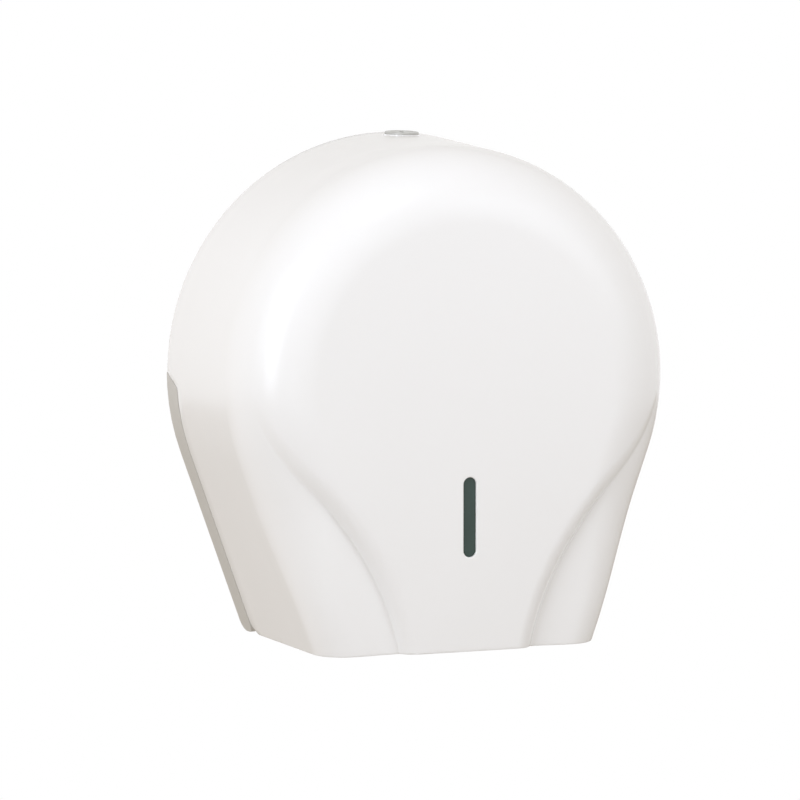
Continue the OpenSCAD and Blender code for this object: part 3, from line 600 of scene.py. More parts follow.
class CoverForm:
    """The moulded cover as a depth over each place of the wall: a full belly before two set-back wings.

    Lengths along the outline run from its widest place, negative above it and positive below it.
    """

    # Lengths along the outline over which the wings sink back and over which their front edge tightens.
    WING_START = -10 * MM
    WING_SET_END = 46 * MM
    WING_EDGE_START = 70 * MM
    WING_EDGE_END = 150 * MM

    # How a section finds the belly's edge, how finely it is first taken, and how much of the spacing of its
    # points goes by length, the rest going by how sharply it turns.
    HALVINGS = 40
    FINE_STEPS = 1600
    LENGTH_SHARE = 0.3

    # Rows round the top, down the rear slope, on to the end of the arc, down the straight side and round
    # the notch at the hinge.
    TOP_ROWS = 46
    SLOPE_ROWS = 4
    ARC_ROWS = 12
    SIDE_ROWS = 33
    NOTCH_ROWS = 8

    def __init__(self, sizes):
        self.sizes = sizes
        self.sin, self.cos = math.sin(sizes.side_lean), math.cos(sizes.side_lean)
        self.tan_draft, self.cos_draft = math.tan(sizes.draft), math.cos(sizes.draft)
        self.gap = -COVER_HIGH.y
        self.radius = COVER_HIGH.z + self.gap * self.tan_draft
        self.depth = -COVER_LOW.y
        self.foot = -COVER_LOW.z
        self.arc = self.radius * sizes.side_lean
        self.top = -self.radius * math.pi / 2
        self.hinge_r = self.foot + HINGE.z
        self.side_depth = -HINGE.y - self.hinge_r
        self.edge_inset = (self.depth - sizes.edge_r) * self.tan_draft + sizes.edge_r / self.cos_draft
        self.belly = np.array((0, sizes.belly_rise))
        neck, drop = sizes.neck_half_w, sizes.neck_h + sizes.belly_rise
        self.neck_r = (neck ** 2 + drop ** 2 - sizes.belly_r ** 2) / (2 * (sizes.belly_r - neck))
        self.neck = np.array((neck + self.neck_r, -sizes.neck_h))

    def on_outline(self, m):
        """Place on the outline at a length along it, as (x, z)."""
        if m < self.arc:
            return self.radius * np.array((math.cos(m / self.radius), -math.sin(m / self.radius)))
        return (self.radius * np.array((self.cos, -self.sin))
                - (m - self.arc) * np.array((self.sin, self.cos)))

    def length_at(self, z):
        """Length along the outline at a height on its straight side."""
        return self.arc + (-z - self.radius * self.sin) / self.cos

    def row(self, m):
        """Outer end, inner end and span of the line on which a section is taken."""
        start = self.on_outline(m)
        if m < self.arc:
            return start, np.zeros(2), self.radius
        low = self.radius * self.sin
        centre = np.array((0, (self.sizes.sill_rise - self.foot) * (-start[1] - low) / (self.foot - low)))
        return start, centre, start[0] * self.cos + (centre[1] - start[1]) * self.sin

    def edge(self, inset, centre, radius, front, skin):
        """Depth of a rounded edge under a skin, at an inset from the outline."""
        s, k = centre - inset, radius - skin
        bent = front - radius + np.sqrt(np.maximum(k * k - np.clip(s, 0, k) ** 2, 0))
        upright = front - radius + k * math.sin(self.sizes.draft) - (s - k * self.cos_draft) / self.tan_draft
        return np.where(s <= 0, front - skin, np.where(s < k * self.cos_draft, bent, upright))

    def belly_out(self, x, z):
        """Distance of a place outside the belly's edge."""
        across, up = x - self.belly[0], z - self.belly[1]
        toward_neck = self.neck - self.belly
        beside_neck = across * toward_neck[1] - up * toward_neck[0] > 0
        return np.where(beside_neck, self.neck_r - np.hypot(x - self.neck[0], z - self.neck[1]),
                        np.hypot(across, up) - self.sizes.belly_r)

    def depth_at(self, x, z, inset, skin):
        """Depth of the outer face, or of the inner one where skin is the wall."""
        s = self.sizes
        round_top = z >= -x * self.sin / self.cos
        m = np.where(round_top, -np.arctan2(z, np.maximum(x, TOUCH)) * self.radius,
                     self.arc - (x * self.sin + z * self.cos))
        begun = smooth(m, self.WING_START, self.WING_SET_END)
        wing_r = (s.edge_r + (s.wing_top_edge_r - s.edge_r) * begun
                  + (s.wing_edge_r - s.wing_top_edge_r) * smooth(m, self.WING_EDGE_START, self.WING_EDGE_END))
        wing_d = self.depth - s.wing_set * begun
        wing_c = (wing_d - wing_r) * self.tan_draft + wing_r / self.cos_draft
        wing = self.edge(inset, wing_c, wing_r, wing_d, skin)
        step_r = (s.belly_top_edge_r
                  + (s.belly_edge_r - s.belly_top_edge_r) * smooth(m, 0, self.WING_EDGE_START))
        belly = (self.edge(inset, self.edge_inset, s.edge_r, self.depth, skin)
                 + self.edge(-self.belly_out(x, z), 0, step_r, skin, skin))
        soft = np.maximum(s.crease_soft * begun, TOUCH)
        near = np.maximum(soft - np.abs(belly - wing), 0)
        return np.maximum(belly, wing) + near * near / (4 * soft)

    def rear(self, m):
        """Depth of the rear edge: at the wall above, behind the skirts below and round at the hinge."""
        z = self.on_outline(m)[1]
        if m <= 0:
            return self.gap
        if m < self.sizes.rear_slope:
            return self.gap + (self.side_depth - self.gap) * m / self.sizes.rear_slope
        if z > HINGE.z:
            return self.side_depth
        return -HINGE.y - math.sqrt(max(self.hinge_r ** 2 - (z - HINGE.z) ** 2, 0))

    def section(self, m, skin, count, lift):
        """Places and depths of one section, from its rear edge to the flat front, closer where it turns."""
        start, centre, span = self.row(m)
        rear = self.rear(m) + lift
        first = rear * self.tan_draft + skin / self.cos_draft
        low, high = first, span
        for _ in range(self.HALVINGS):
            middle = (low + high) / 2
            place = start + (centre - start) * middle / span
            low, high = (low, middle) if self.belly_out(*place) < 0 else (middle, high)
        high = max(high, self.edge_inset)
        inset = np.linspace(first, high, self.FINE_STEPS)
        place = start + (centre - start) * inset[:, None] / span
        depth = self.depth_at(place[:, 0], place[:, 1], inset, skin)
        depth[0] = rear
        run = np.hypot(np.diff(inset), np.diff(depth))
        slope = np.arctan2(np.diff(depth), np.diff(inset))
        turn = np.abs(np.diff(slope, prepend=math.pi / 2 - self.sizes.draft))
        by_length, by_turn = self.LENGTH_SHARE, 1 - self.LENGTH_SHARE
        share = np.concatenate(([0], np.cumsum(by_length * run / run.sum() + by_turn * turn / turn.sum())))
        even = np.linspace(0, share[-1], count)
        inset, depth = np.interp(even, share, inset), np.interp(even, share, depth)
        place = start + (centre - start) * inset[:, None] / span
        return place, depth

    def ring(self, m, ease, side, count=56, lip=4):
        """One section of the wall, from the outer front edge round the rear edge to the inner front edge."""
        s = self.sizes
        lift = s.rim_round
        start, centre, span = self.row(m)
        outer_place, outer = self.section(m, ease, count, lift)
        inner_place, inner = self.section(m, s.wall - ease, count, lift)
        around = []
        for turn in np.linspace(0, math.pi, 2 * lip)[1:-1]:
            if turn < math.pi / 2:
                into = ease + lift * (1 - math.cos(turn))
            else:
                into = s.wall - ease - lift * (1 + math.cos(turn))
            depth = self.rear(m) + lift * (1 - math.sin(turn))
            inset = depth * self.tan_draft + into / self.cos_draft
            around.append((*(start + (centre - start) * inset / span), depth))
        ring = [(*place, d) for place, d in zip(outer_place, outer)][::-1] + around
        ring += [(*place, d) for place, d in zip(inner_place, inner)]
        return [(side * x, -d, z) for x, z, d in ring]

    def rows(self):
        """Lengths along one half of the outline and how far each row is eased into the bottom edge."""
        s = self.sizes
        lift = s.rim_round
        corner = math.asin((self.hinge_r - lift) / self.hinge_r)
        notch = np.linspace(0, corner, self.NOTCH_ROWS)[1:]
        lengths = [*np.linspace(self.top, 0, self.TOP_ROWS),
                   *np.linspace(0, s.rear_slope, self.SLOPE_ROWS)[1:],
                   *np.linspace(s.rear_slope, self.arc, self.ARC_ROWS)[1:],
                   *np.linspace(self.arc, self.length_at(HINGE.z), self.SIDE_ROWS)[1:],
                   *[self.length_at(HINGE.z - self.hinge_r * math.sin(turn)) for turn in notch]]
        rows = [(m, 0.0) for m in lengths]
        for turn in (math.pi / 4, math.pi / 2):
            height = -self.foot + lift * (1 - math.sin(turn))
            rows.append((self.length_at(height), lift * (1 - math.cos(turn))))
        return rows

    def shell(self):
        """The whole wall but for its flat front, whose openings are left to be filled."""
        rows = self.rows()
        order = [(m, ease, 1) for m, ease in rows[:0:-1]] + [(*rows[0], 1)]
        order += [(m, ease, -1) for m, ease in rows[1:]]
        rings = [self.ring(*row) for row in order]
        width, last = len(rings[0]), len(rings) - 1
        points = [point for ring in rings for point in ring]
        faces = [(i * width + j, i * width + j + 1, (i + 1) * width + j + 1, (i + 1) * width + j)
                 for i in range(last) for j in range(width - 1)]
        half = width // 2
        for j in range(half - 1):
            faces.append((width - 1 - j, width - 2 - j, j + 1, j))
            faces.append(tuple(last * width + k for k in (j, j + 1, width - 2 - j, width - 1 - j)))
        eased = 2
        for k in range(eased):
            near, far = (k * width, (k + 1) * width), ((last - k) * width, (last - k - 1) * width)
            faces.append((near[0], near[1], far[1], far[0]))
            faces.append((far[0] + width - 1, far[1] + width - 1, near[1] + width - 1, near[0] + width - 1))
        faces.append((0, last * width, (last + 1) * width - 1, width - 1))
        return points, faces


def slot_outline(sizes, out, steps=14):
    """The level slot's outline, moved outwards, as (x, z) places."""
    radius = sizes.slot_w / 2 + out
    half = (sizes.slot_h - sizes.slot_w) / 2
    middle = (LENS_LOW.z + LENS_HIGH.z) / 2
    turns = [math.pi * k / steps for k in range(steps + 1)]
    top = [(radius * math.cos(t), middle + half + radius * math.sin(t)) for t in turns]
    return top + [(-x, 2 * middle - z) for x, z in top]


def cover_with_slot(form, steps=4):
    """The cover's wall with the level slot through its flat front, its rim rounded in a few steps."""
    sizes = form.sizes
    points, faces = form.shell()
    rounding = sizes.rim_round
    turns = [math.pi / 2 * k / steps for k in range(steps + 1)]
    levels = [(rounding * (1 - math.sin(t)), form.depth - rounding * (1 - math.cos(t))) for t in turns]
    levels.append((0, form.depth - sizes.wall))
    first = len(points)
    for out, depth in levels:
        points += [(x, -depth, z) for x, z in slot_outline(sizes, out)]
    width = len(slot_outline(sizes, 0))
    for level in range(len(levels) - 1):
        a, b = first + level * width, first + (level + 1) * width
        faces += [(a + (k + 1) % width, a + k, b + k, b + (k + 1) % width) for k in range(width)]
    piece = piece_of("cover", points, faces)
    solid = bmesh.new()
    solid.from_mesh(piece.data)
    for depth, facing in ((form.depth, (0, -1, 0)), (form.depth - sizes.wall, (0, 1, 0))):
        rim = [edge for edge in solid.edges if len(edge.link_faces) == 1
               and all(abs(vert.co.y + depth) < TOUCH for vert in edge.verts)]
        bmesh.ops.triangle_fill(solid, use_beauty=True, use_dissolve=False, edges=rim, normal=facing)
    solid.to_mesh(piece.data)
    solid.free()
    return piece


def inside_side_wall(form, into, depth, z):
    """Half width of the straight side wall's skin at a depth and height."""
    return (form.radius - depth * form.tan_draft - into / form.cos_draft + z * form.sin) / form.cos


def knuckle(form, sizes, side, blunt=0.4 * MM, steps=48):
    """The cover's hinge knuckle: a stub from its blunted free end to the middle of the side wall."""
    wall_x = inside_side_wall(form, form.sizes.wall, -HINGE.y, HINGE.z)
    free, full = wall_x - sizes.knuckle_l, sizes.knuckle_r
    rings = []
    for radius, x in ((full - blunt, free), (full, free + blunt), (full, None)):
        ring = []
        for k in range(steps):
            turn = math.tau * k / steps
            y, z = HINGE.y + radius * math.cos(turn), HINGE.z + radius * math.sin(turn)
            ring.append((side * (x if x else inside_side_wall(form, form.sizes.wall / 2, -y, z)), y, z))
        rings.append(ring)
    points = [point for ring in rings for point in ring]
    faces = [tuple(range(steps))[::-1], tuple(range(2 * steps, 3 * steps))]
    faces += [(i * steps + k, i * steps + (k + 1) % steps,
               (i + 1) * steps + (k + 1) % steps, (i + 1) * steps + k)
              for i in range(2) for k in range(steps)]
    if side < 0:
        faces = [face[::-1] for face in faces]
    return piece_of("knuckle", points, faces)


# ---- Patterns ----

class Pattern(Board):
    """A Geometry Nodes tree with named inputs, which ends in real geometry with its finish."""

    def __init__(self, name, **inputs):
        super().__init__(bpy.data.node_groups.new(name, "GeometryNodeTree"))
        sockets = [self.tree.interface.new_socket(key.replace("_", " ").capitalize(), in_out="INPUT",
                                                  socket_type="NodeSocket" + kind)
                   for key, kind in inputs.items()]
        self.identifiers = {key: socket.identifier for key, socket in zip(inputs, sockets)}
        self.tree.interface.new_socket("Geometry", in_out="OUTPUT", socket_type="NodeSocketGeometry")
        group = self.tree.nodes.new("NodeGroupInput")
        self.inputs = {key: Wire(self, group.outputs[place]) for place, key in enumerate(inputs)}

    def ends_in(self, geometry):
        """Places the geometry, makes its instances real and gives it the finish."""
        placed = self.node("GeometryNodeTransform", {"Geometry": geometry,
                                                     "Translation": self.inputs["place"],
                                                     "Rotation": self.inputs["facing"]})
        real = self.node("GeometryNodeRealizeInstances", {"Geometry": placed})
        dressed = self.node("GeometryNodeSetMaterial", {"Geometry": real, "Material": self.inputs["finish"]})
        self.node("NodeGroupOutput", {"Geometry": dressed})
        return self

    def made(self, name, **values):
        """A piece with the tree's result as its own mesh."""
        piece = piece_of(name, [], [])
        modifier = piece.modifiers.new("pattern", "NODES")
        modifier.node_group = self.tree
        for key, value in values.items():
            modifier[self.identifiers[key]] = value
        return settled(piece)


def ring_pattern():
    """Copies of one piece, spaced evenly round a circle and each turned with its place."""
    board = Pattern("ring_of_pieces", piece="Object", count="Int", radius="Float", turn="Float", spin="Float",
                    place="Vector", facing="Rotation", finish="Material")
    value = board.inputs
    index = board.node("GeometryNodeInputIndex")
    angle = value["turn"] + index * (math.tau / value["count"])
    spot = board.node("ShaderNodeCombineXYZ", {"X": value["radius"] * angle.cos(),
                                               "Y": value["radius"] * angle.sin()})
    points = board.node("GeometryNodePoints", {"Count": value["count"], "Position": spot})
    source = board.node("GeometryNodeObjectInfo", {"Object": value["piece"]}, output="Geometry")
    turned_by = board.node("ShaderNodeCombineXYZ", {"Z": angle + index * value["spin"]})
    copies = board.node("GeometryNodeInstanceOnPoints", {"Points": points, "Instance": source,
                                                         "Rotation": turned_by})
    return board.ends_in(copies)


def saw_pattern():
    """A flat strip with a saw edge, given a thickness."""
    board = Pattern("saw_strip", length="Float", height="Float", thickness="Float", teeth="Int",
                    tooth_height="Float", place="Vector", facing="Rotation", finish="Material")
    value = board.inputs
    grid = board.node("GeometryNodeMeshGrid", {"Size X": value["length"], "Size Y": value["height"],
                                               "Vertices X": value["teeth"] * 2 + 1, "Vertices Y": 2},
                      output="Mesh")
    across = board.node("ShaderNodeSeparateXYZ", {"Vector": board.node("GeometryNodeInputPosition")})
    column = ((across / value["length"] + 0.5) * (value["teeth"] * 2)).rounded()
    tip = column.modulo(2) * across.beside("Y").below(0)
    drop = board.node("ShaderNodeCombineXYZ", {"Y": 0 - tip * value["tooth_height"]})
    sawn = board.node("GeometryNodeSetPosition", {"Geometry": grid, "Offset": drop})
    normal = board.node("ShaderNodeCombineXYZ", {"Z": 1.0})
    thick = board.node("GeometryNodeExtrudeMesh", {"Mesh": sawn, "Offset": normal,
                                                   "Offset Scale": value["thickness"],
                                                   "Individual": False})
    back = board.node("GeometryNodeFlipFaces", {"Mesh": sawn})
    joined = board.node("GeometryNodeJoinGeometry", {"Geometry": [thick, back]})
    return board.ends_in(board.node("GeometryNodeMergeByDistance", {"Geometry": joined, "Distance": WELD}))


# Turns, in radians about each axis, that point a screw's head into the room or at the wall.
TO_ROOM = (math.pi / 2, 0, 0)
TO_WALL = (-math.pi / 2, 0, 0)


def ring_of(name, piece, count=1, radius=0.0, turn=0.0, spin=0.0, place=(0, 0, 0), facing=TO_ROOM):
    """One mesh of like pieces, set round a circle by the pattern; the piece that was copied is removed."""
    pattern = ring_pattern()
    ring = pattern.made(name, piece=piece, count=count, radius=radius, turn=turn, spin=spin, place=place,
                        facing=facing, finish=finish_for("steel"))
    bpy.data.objects.remove(piece)
    bpy.data.node_groups.remove(pattern.tree)
    return shaded(ring)


# ---- Screws and other small hardware ----

def cross_recess(size, depth, top, slimness=0.13, taper=0.55):
    """A tapered cross, as the tool that cuts a driver's recess."""
    arm, half = size / 2, size * slimness
    corner = [(half, arm), (half, half), (arm, half)]
    quarters = ((1, 0), (0, -1), (-1, 0), (0, 1))
    plus = [(x * c - y * s, x * s + y * c) for c, s in quarters for x, y in corner]
    levels = ((taper, top - depth), (1, top + depth))
    points = [(x * share, y * share, z) for share, z in levels for x, y in plus]
    count = len(plus)
    faces = [tuple(range(count)), tuple(range(2 * count - 1, count - 1, -1))]
    faces += [(k, k + count, (k + 1) % count + count, (k + 1) % count) for k in range(count)]
    return piece_of("recess", points, faces)


# A pan head screw: lengths, then shares of its shank's diameter and radius, then shares of its head.
SHANK_EASE, SEAT_ROUND, PLAIN_NECK = 0.3 * MM, 0.15 * MM, 0.5 * MM
PITCH, THREAD_DEPTH, TIP_WIDTH, TIP_LENGTH = 0.36, 0.1, 0.7, 0.4
CROWN, RECESS_WIDTH, RECESS_DEPTH = 0.7, 0.56, 0.55


def pan_screw(head_d, head_t, shank_d, length):
    """A pan head screw with a thread and a cross recess, its seat at its origin and its head upwards."""
    head, shank, pitch = head_d / 2, shank_d / 2 - SHANK_EASE, shank_d * PITCH
    corners = [(0, -length, 0), (shank * TIP_WIDTH, -length, 0),
               *threaded_run(shank, -length + TIP_LENGTH * shank, 0, pitch),
               (head, 0, SEAT_ROUND), (head, head_t, head_t * CROWN), (0, head_t, 0)]
    thread = thread_of(shank, -length, -PLAIN_NECK, pitch, shank_d * THREAD_DEPTH)
    screw = turned("screw", rounded(corners, steps=6), direction=(0, 0, 1), steps=36, thread=thread)
    recess = cross_recess(head_d * RECESS_WIDTH, head_t * RECESS_DEPTH, head_t)
    return shaped(screw, [recess], "DIFFERENCE")


def push_ring(bore, width, thickness, tongues=6, slit_w=0.35 * MM, edge=0.1 * MM):
    """A push-on ring whose dished inner edge is slit into tongues."""
    inner, outer = bore / 2, bore / 2 + width
    bend, flat_t, dish = inner + 0.4 * width, 0.6 * thickness, 0.3 * thickness
    corners = [(inner, dish, 0), (bend, 0, 0), (outer, 0, edge), (outer, flat_t, edge), (bend, flat_t, 0),
               (inner, thickness, 0)]
    ring = turned("ring", rounded(corners), direction=(0, 0, 1), steps=48)
    slit = block("slit", (inner, 0, thickness / 2), (width, slit_w, 2 * thickness))
    slits = ring_of("slits", slit, count=tongues, facing=(0, 0, 0))
    return shaped(ring, [slits], "DIFFERENCE")


def hex_nut(across_flats, height, bore, past_flats=1.1, bevel=0.6):
    """A hexagon nut, standing on its origin, whose corners are turned off just past its flats."""
    corner = across_flats / 2 / math.cos(math.pi / 6)
    nut = turned("nut", [(0, 0), (corner, 0), (corner, height), (0, height)], direction=(0, 0, 1), steps=6)
    ease = (corner - across_flats / 2) * past_flats
    drop = ease * bevel
    barrel = turned("barrel", [(0, 0), (corner - ease, 0), (corner, drop), (corner, height - drop),
                               (corner - ease, height), (0, height)], direction=(0, 0, 1), steps=72)
    shaped(nut, [barrel], "INTERSECT")
    return shaped(nut, [rod("bore", (0, 0, -MM), (0, 0, 1), bore / 2, height + 2 * MM)], "DIFFERENCE")


def block(name, middle, size):
    """A box, as a tool that shapes another piece."""
    points = [Vector(middle) + Vector((x * size[0], y * size[1], z * size[2])) / 2
              for z in (-1, 1) for x, y in ((-1, -1), (1, -1), (1, 1), (-1, 1))]
    faces = [(3, 2, 1, 0), (4, 5, 6, 7)] + [(k, (k + 1) % 4, (k + 1) % 4 + 4, k + 4) for k in range(4)]
    return piece_of(name, points, faces)


def pair_of(node):
    """Middle and half spacing of a pair of like pieces of one node, along the axis that parts them."""
    low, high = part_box(node)
    size = high - low
    across = 0 if size.x > size.z else 2
    reach = (size[across] - size[2 - across]) / 2
    return (low + high) / 2, reach


# ---- Operators ----

class DISPENSER_OT_cover(bpy.types.Operator):
    """Build the moulded cover with its belly, wings, slot, knuckles, posts and bosses"""

    bl_idname = "dispenser.cover"
    bl_label = "Cover"

    # How far a post stands past its ring, what a pilot hole is smaller than its screw, the play at a pin's
    # end, half the length of the cut for the lock, and the margin of the seat round its nut.
    POST_END = 0.6 * MM
    PILOT_GRIP = 0.3 * MM
    PILOT_DEPTH = 10 * MM
    PIN_END_GAP = 0.4 * MM
    LOCK_HOLE_HALF = 10 * MM
    SEAT_MARGIN = 0.6 * MM

    def execute(self, context):
        sizes, fittings = context.scene.dispenser_cover, context.scene.dispenser_fittings
        form = CoverForm(sizes)
        cover = cover_with_slot(form)
        inner = form.depth - sizes.wall
        clips, clip_reach = pair_of("window_clips")
        bosses, boss_reach = pair_of("tear_strip_screws")
        clip_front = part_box("window_clips")[1].y
        added, cut = [self.lock_seat(sizes, fittings)], []
        root, inward = inner + MM, (0, 1, 0)
        for side in (-1, 1):
            added.append(knuckle(form, fittings, side))
            post = (0, -root, clips.z + side * clip_reach)
            added.append(rod("post", post, inward, fittings.post_d / 2, root + clip_front + self.POST_END))
            boss, screw_r = (side * boss_reach, -root, bosses.z), fittings.screw_d / 2
            added.append(rod("boss", boss, inward, screw_r + fittings.boss_wall, root + STRIP_LOW.y))
            cut.append(rod("pilot", boss, inward, screw_r - self.PILOT_GRIP, self.PILOT_DEPTH))
            cut.append(rod("pin_bore", (side * PIN_LOW.x, HINGE.y, HINGE.z), (side, 0, 0),
                           fittings.pin_d / 2 + RUN_FIT, PIN_HIGH.x - PIN_LOW.x + self.PIN_END_GAP))
        cut.append(rod("lock_hole", LOCK - LOCK_UP * self.LOCK_HOLE_HALF, LOCK_UP, fittings.lock_d / 2,
                       2 * self.LOCK_HOLE_HALF))
        shaped(cover, added, "UNION")
        shaped(cover, cut, "DIFFERENCE")
        fitted(shaded(cover, crisp=40), "cover", "cover_white", "front_cover")
        return {"FINISHED"}

    def lock_seat(self, sizes, fittings):
        """The flat pad under the lock's flange and the seat of its nut inside."""
        seat, pad = sizes.wall + NUT_SEAT, fittings.lock_pad
        nut_r = fittings.nut_af / 2 / math.cos(math.pi / 6) + self.SEAT_MARGIN
        pad_r = fittings.lock_flange_d / 2 + MM
        profile = [(0, -seat), (nut_r, -seat), (nut_r, -MM), (pad_r, -MM), (pad_r, pad), (0, pad)]
        return turned("lock_seat", profile, LOCK, LOCK_UP)


class DISPENSER_OT_window(bpy.types.Operator):
    """Build the level window and the two push-on rings that hold it"""

    bl_idname = "dispenser.window"
    bl_label = "Window"

    def execute(self, context):
        post_d = context.scene.dispenser_fittings.post_d
        eased_copy("window", "window_lens", "cover", "window_green", edge=0.3 * MM)
        middle, reach = pair_of("window_clips")
        low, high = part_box("window_clips")
        clip = push_ring(post_d, high.x - post_d / 2, high.y - low.y)
        clips = ring_of("window_rings", clip, count=2, radius=reach, turn=math.pi / 2,
                        place=(0, low.y, middle.z), facing=TO_WALL)
        fitted(clips, "cover", "steel", "window_clips")
        return {"FINISHED"}


class DISPENSER_OT_strip(bpy.types.Operator):
    """Build the toothed tear strip and its two screws"""

    bl_idname = "dispenser.strip"
    bl_label = "Tear Strip"

    HOLE_EASE = 0.2 * MM

    def execute(self, context):
        sizes = context.scene.dispenser_fittings
        size = STRIP_HIGH - STRIP_LOW
        middle, reach = pair_of("tear_strip_screws")
        strip = saw_pattern().made("tear_blade", length=size.x, height=sizes.strip_h, thickness=size.y,
                                   teeth=sizes.teeth, tooth_height=size.z - sizes.strip_h,
                                   place=(0, STRIP_HIGH.y, STRIP_HIGH.z - sizes.strip_h / 2), facing=TO_ROOM,
                                   finish=finish_for("steel"))
        hole_r = sizes.screw_d / 2 + self.HOLE_EASE
        holes = [rod("hole", (side * reach, STRIP_LOW.y - MM, middle.z), (0, 1, 0), hole_r, 4 * MM)
                 for side in (-1, 1)]
        shaped(strip, holes, "DIFFERENCE")
        fitted(levelled(softened(strip, edge=0.12 * MM)), "cover", "steel", "tear_strip")
        low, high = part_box("tear_strip_screws")
        screw = pan_screw(high.z - low.z, high.y - STRIP_HIGH.y, sizes.screw_d, STRIP_HIGH.y - low.y)
        screws = ring_of("blade_screws", screw, count=2, radius=reach, spin=0.5,
                         place=(0, STRIP_HIGH.y, middle.z), facing=TO_WALL)
        fitted(screws, "cover", "steel", "tear_strip_screws")
        return {"FINISHED"}


class DISPENSER_OT_lock(bpy.types.Operator):
    """Build the cam lock: housing, turning plug with its keyway, nut, cam and cam screw"""

    bl_idname = "dispenser.lock"
    bl_label = "Lock"

    # How far the plug runs past the body, its collar's width and thickness, how far its face is sunk, and
    # then the body's thread: its pitch, how far it stays from either end, and its depth.
    PLUG_PAST = MM
    COLLAR_W = 0.9 * MM
    COLLAR_T = MM
    FACE_SUNK = 0.2 * MM
    THREAD_PITCH = MM
    THREAD_START = 0.4 * MM
    THREAD_END = 0.6 * MM
    THREAD_DEPTH = 0.45 * MM

    # The cam's thickness, the side of its square hole, its screw and the hole for that screw.
    CAM_T = 2 * MM
    SQUARE = 6 * MM
    SCREW_HEAD_D = 7.8 * MM
    SCREW_HEAD_T = 2 * MM
    SCREW_D = 3.5 * MM
    SCREW_L = 7 * MM
    HOLE_PAST = 3 * MM
    HOLE_R = 1.45 * MM
    HOLE_L = 9 * MM

    # Middle and size of the keyway and of the ward beside it, across the plug's face, and their depth.
    KEYWAY = ((0, 0), (1.6 * MM, 6 * MM))
    WARD = ((1.1 * MM, -0.9 * MM), (1.2 * MM, 0.9 * MM))
    KEYWAY_DEPTH = 7 * MM

    def execute(self, context):
        sizes = context.scene.dispenser_fittings
        tilt = math.atan2(-LOCK_UP.y, LOCK_UP.z)
        self.housing(sizes)
        self.plug(sizes)
        nut_low = -context.scene.dispenser_cover.wall - NUT_SEAT - sizes.nut_t
        nut = ring_of("lock_hex_nut", hex_nut(sizes.nut_af, sizes.nut_t, sizes.lock_d),
                      place=LOCK + LOCK_UP * nut_low, facing=(tilt, 0, 0))
        fitted(nut, "cover", "steel", "lock_nut")
        eased_copy("cam", "lock_cam", "lock", "steel", edge=0.25 * MM)
        foot = -sizes.lock_l - self.PLUG_PAST - self.CAM_T
        screw = pan_screw(self.SCREW_HEAD_D, self.SCREW_HEAD_T, self.SCREW_D, self.SCREW_L)
        fixing = ring_of("cam_fixing", screw, place=LOCK + LOCK_UP * foot, facing=(tilt + math.pi, 0, 0))
        fitted(fixing, "lock", "steel", "cam_screw")
        return {"FINISHED"}

    def housing(self, sizes):
        """The threaded body with its round flange."""
        bore, body, flange = sizes.plug_d / 2 + RUN_FIT, sizes.lock_d / 2, sizes.lock_flange_d / 2
        collar, foot = bore + self.COLLAR_W, -sizes.lock_l
        under, top = sizes.lock_pad, sizes.lock_pad + sizes.lock_flange_t
        ledge = top - self.FACE_SUNK - self.COLLAR_T - RUN_FIT
        run = threaded_run(body, foot + self.THREAD_START, -self.THREAD_END, self.THREAD_PITCH)
        corners = [(bore, foot, 0.2 * MM), (body - self.THREAD_START, foot, 0), *run, (body, under, 0),
                   (flange, under, 0.1 * MM), (flange, top, 0.7 * MM), (collar, top, 0.15 * MM),
                   (collar, ledge, 0), (bore, ledge, 0)]
        thread = thread_of(body, foot, -self.THREAD_END, self.THREAD_PITCH, self.THREAD_DEPTH)
        housing = turned("lock_body", rounded(corners, steps=5), LOCK, LOCK_UP, thread=thread)
        fitted(shaded(housing), "cover", "lock_grey", "lock_housing")

    def plug(self, sizes):
        """The turning plug: its round face with the keyway, and the square end that carries the cam."""
        foot, radius = -sizes.lock_l - self.PLUG_PAST, sizes.plug_d / 2
        top = sizes.lock_pad + sizes.lock_flange_t - self.FACE_SUNK
        ledge, collar = top - self.COLLAR_T, radius + self.COLLAR_W
        corners = [(0, foot, 0), (radius, foot, 0.3 * MM), (radius, ledge, 0), (collar, ledge, 0),
                   (collar, top, 0.2 * MM), (0, top, 0)]
        plug = turned("lock_core", rounded(corners), LOCK, LOCK_UP)
        overlap = 0.1 * MM
        end = block("square_end", (0, 0, foot + (overlap - self.CAM_T) / 2),
                    (self.SQUARE, self.SQUARE, self.CAM_T + overlap))
        middle_z, length = top + (MM - self.KEYWAY_DEPTH) / 2, self.KEYWAY_DEPTH + MM
        cuts = [block(name, (*middle, middle_z), (*size, length))
                for name, (middle, size) in (("keyway", self.KEYWAY), ("ward", self.WARD))]
        cuts.append(rod("screw_hole", (0, 0, foot - self.HOLE_PAST), (0, 0, 1), self.HOLE_R, self.HOLE_L))
        for tool in (end, *cuts):
            tool.data.transform(Matrix.Translation(LOCK) @ toward(LOCK_UP))
        shaped(plug, [end], "UNION")
        shaped(plug, cuts, "DIFFERENCE")
        fitted(levelled(softened(plug, edge=0.1 * MM)), "lock", "lock_grey", "lock_plug")


class DISPENSER_OT_plate(bpy.types.Operator):
    """Build the back plate with its rim, skirts, ribs and lugs"""

    bl_idname = "dispenser.plate"
    bl_label = "Back Plate"

    def execute(self, context):
        eased_copy("plate", "back_plate", "plate", "plate_grey", edge=0.35 * MM)
        return {"FINISHED"}


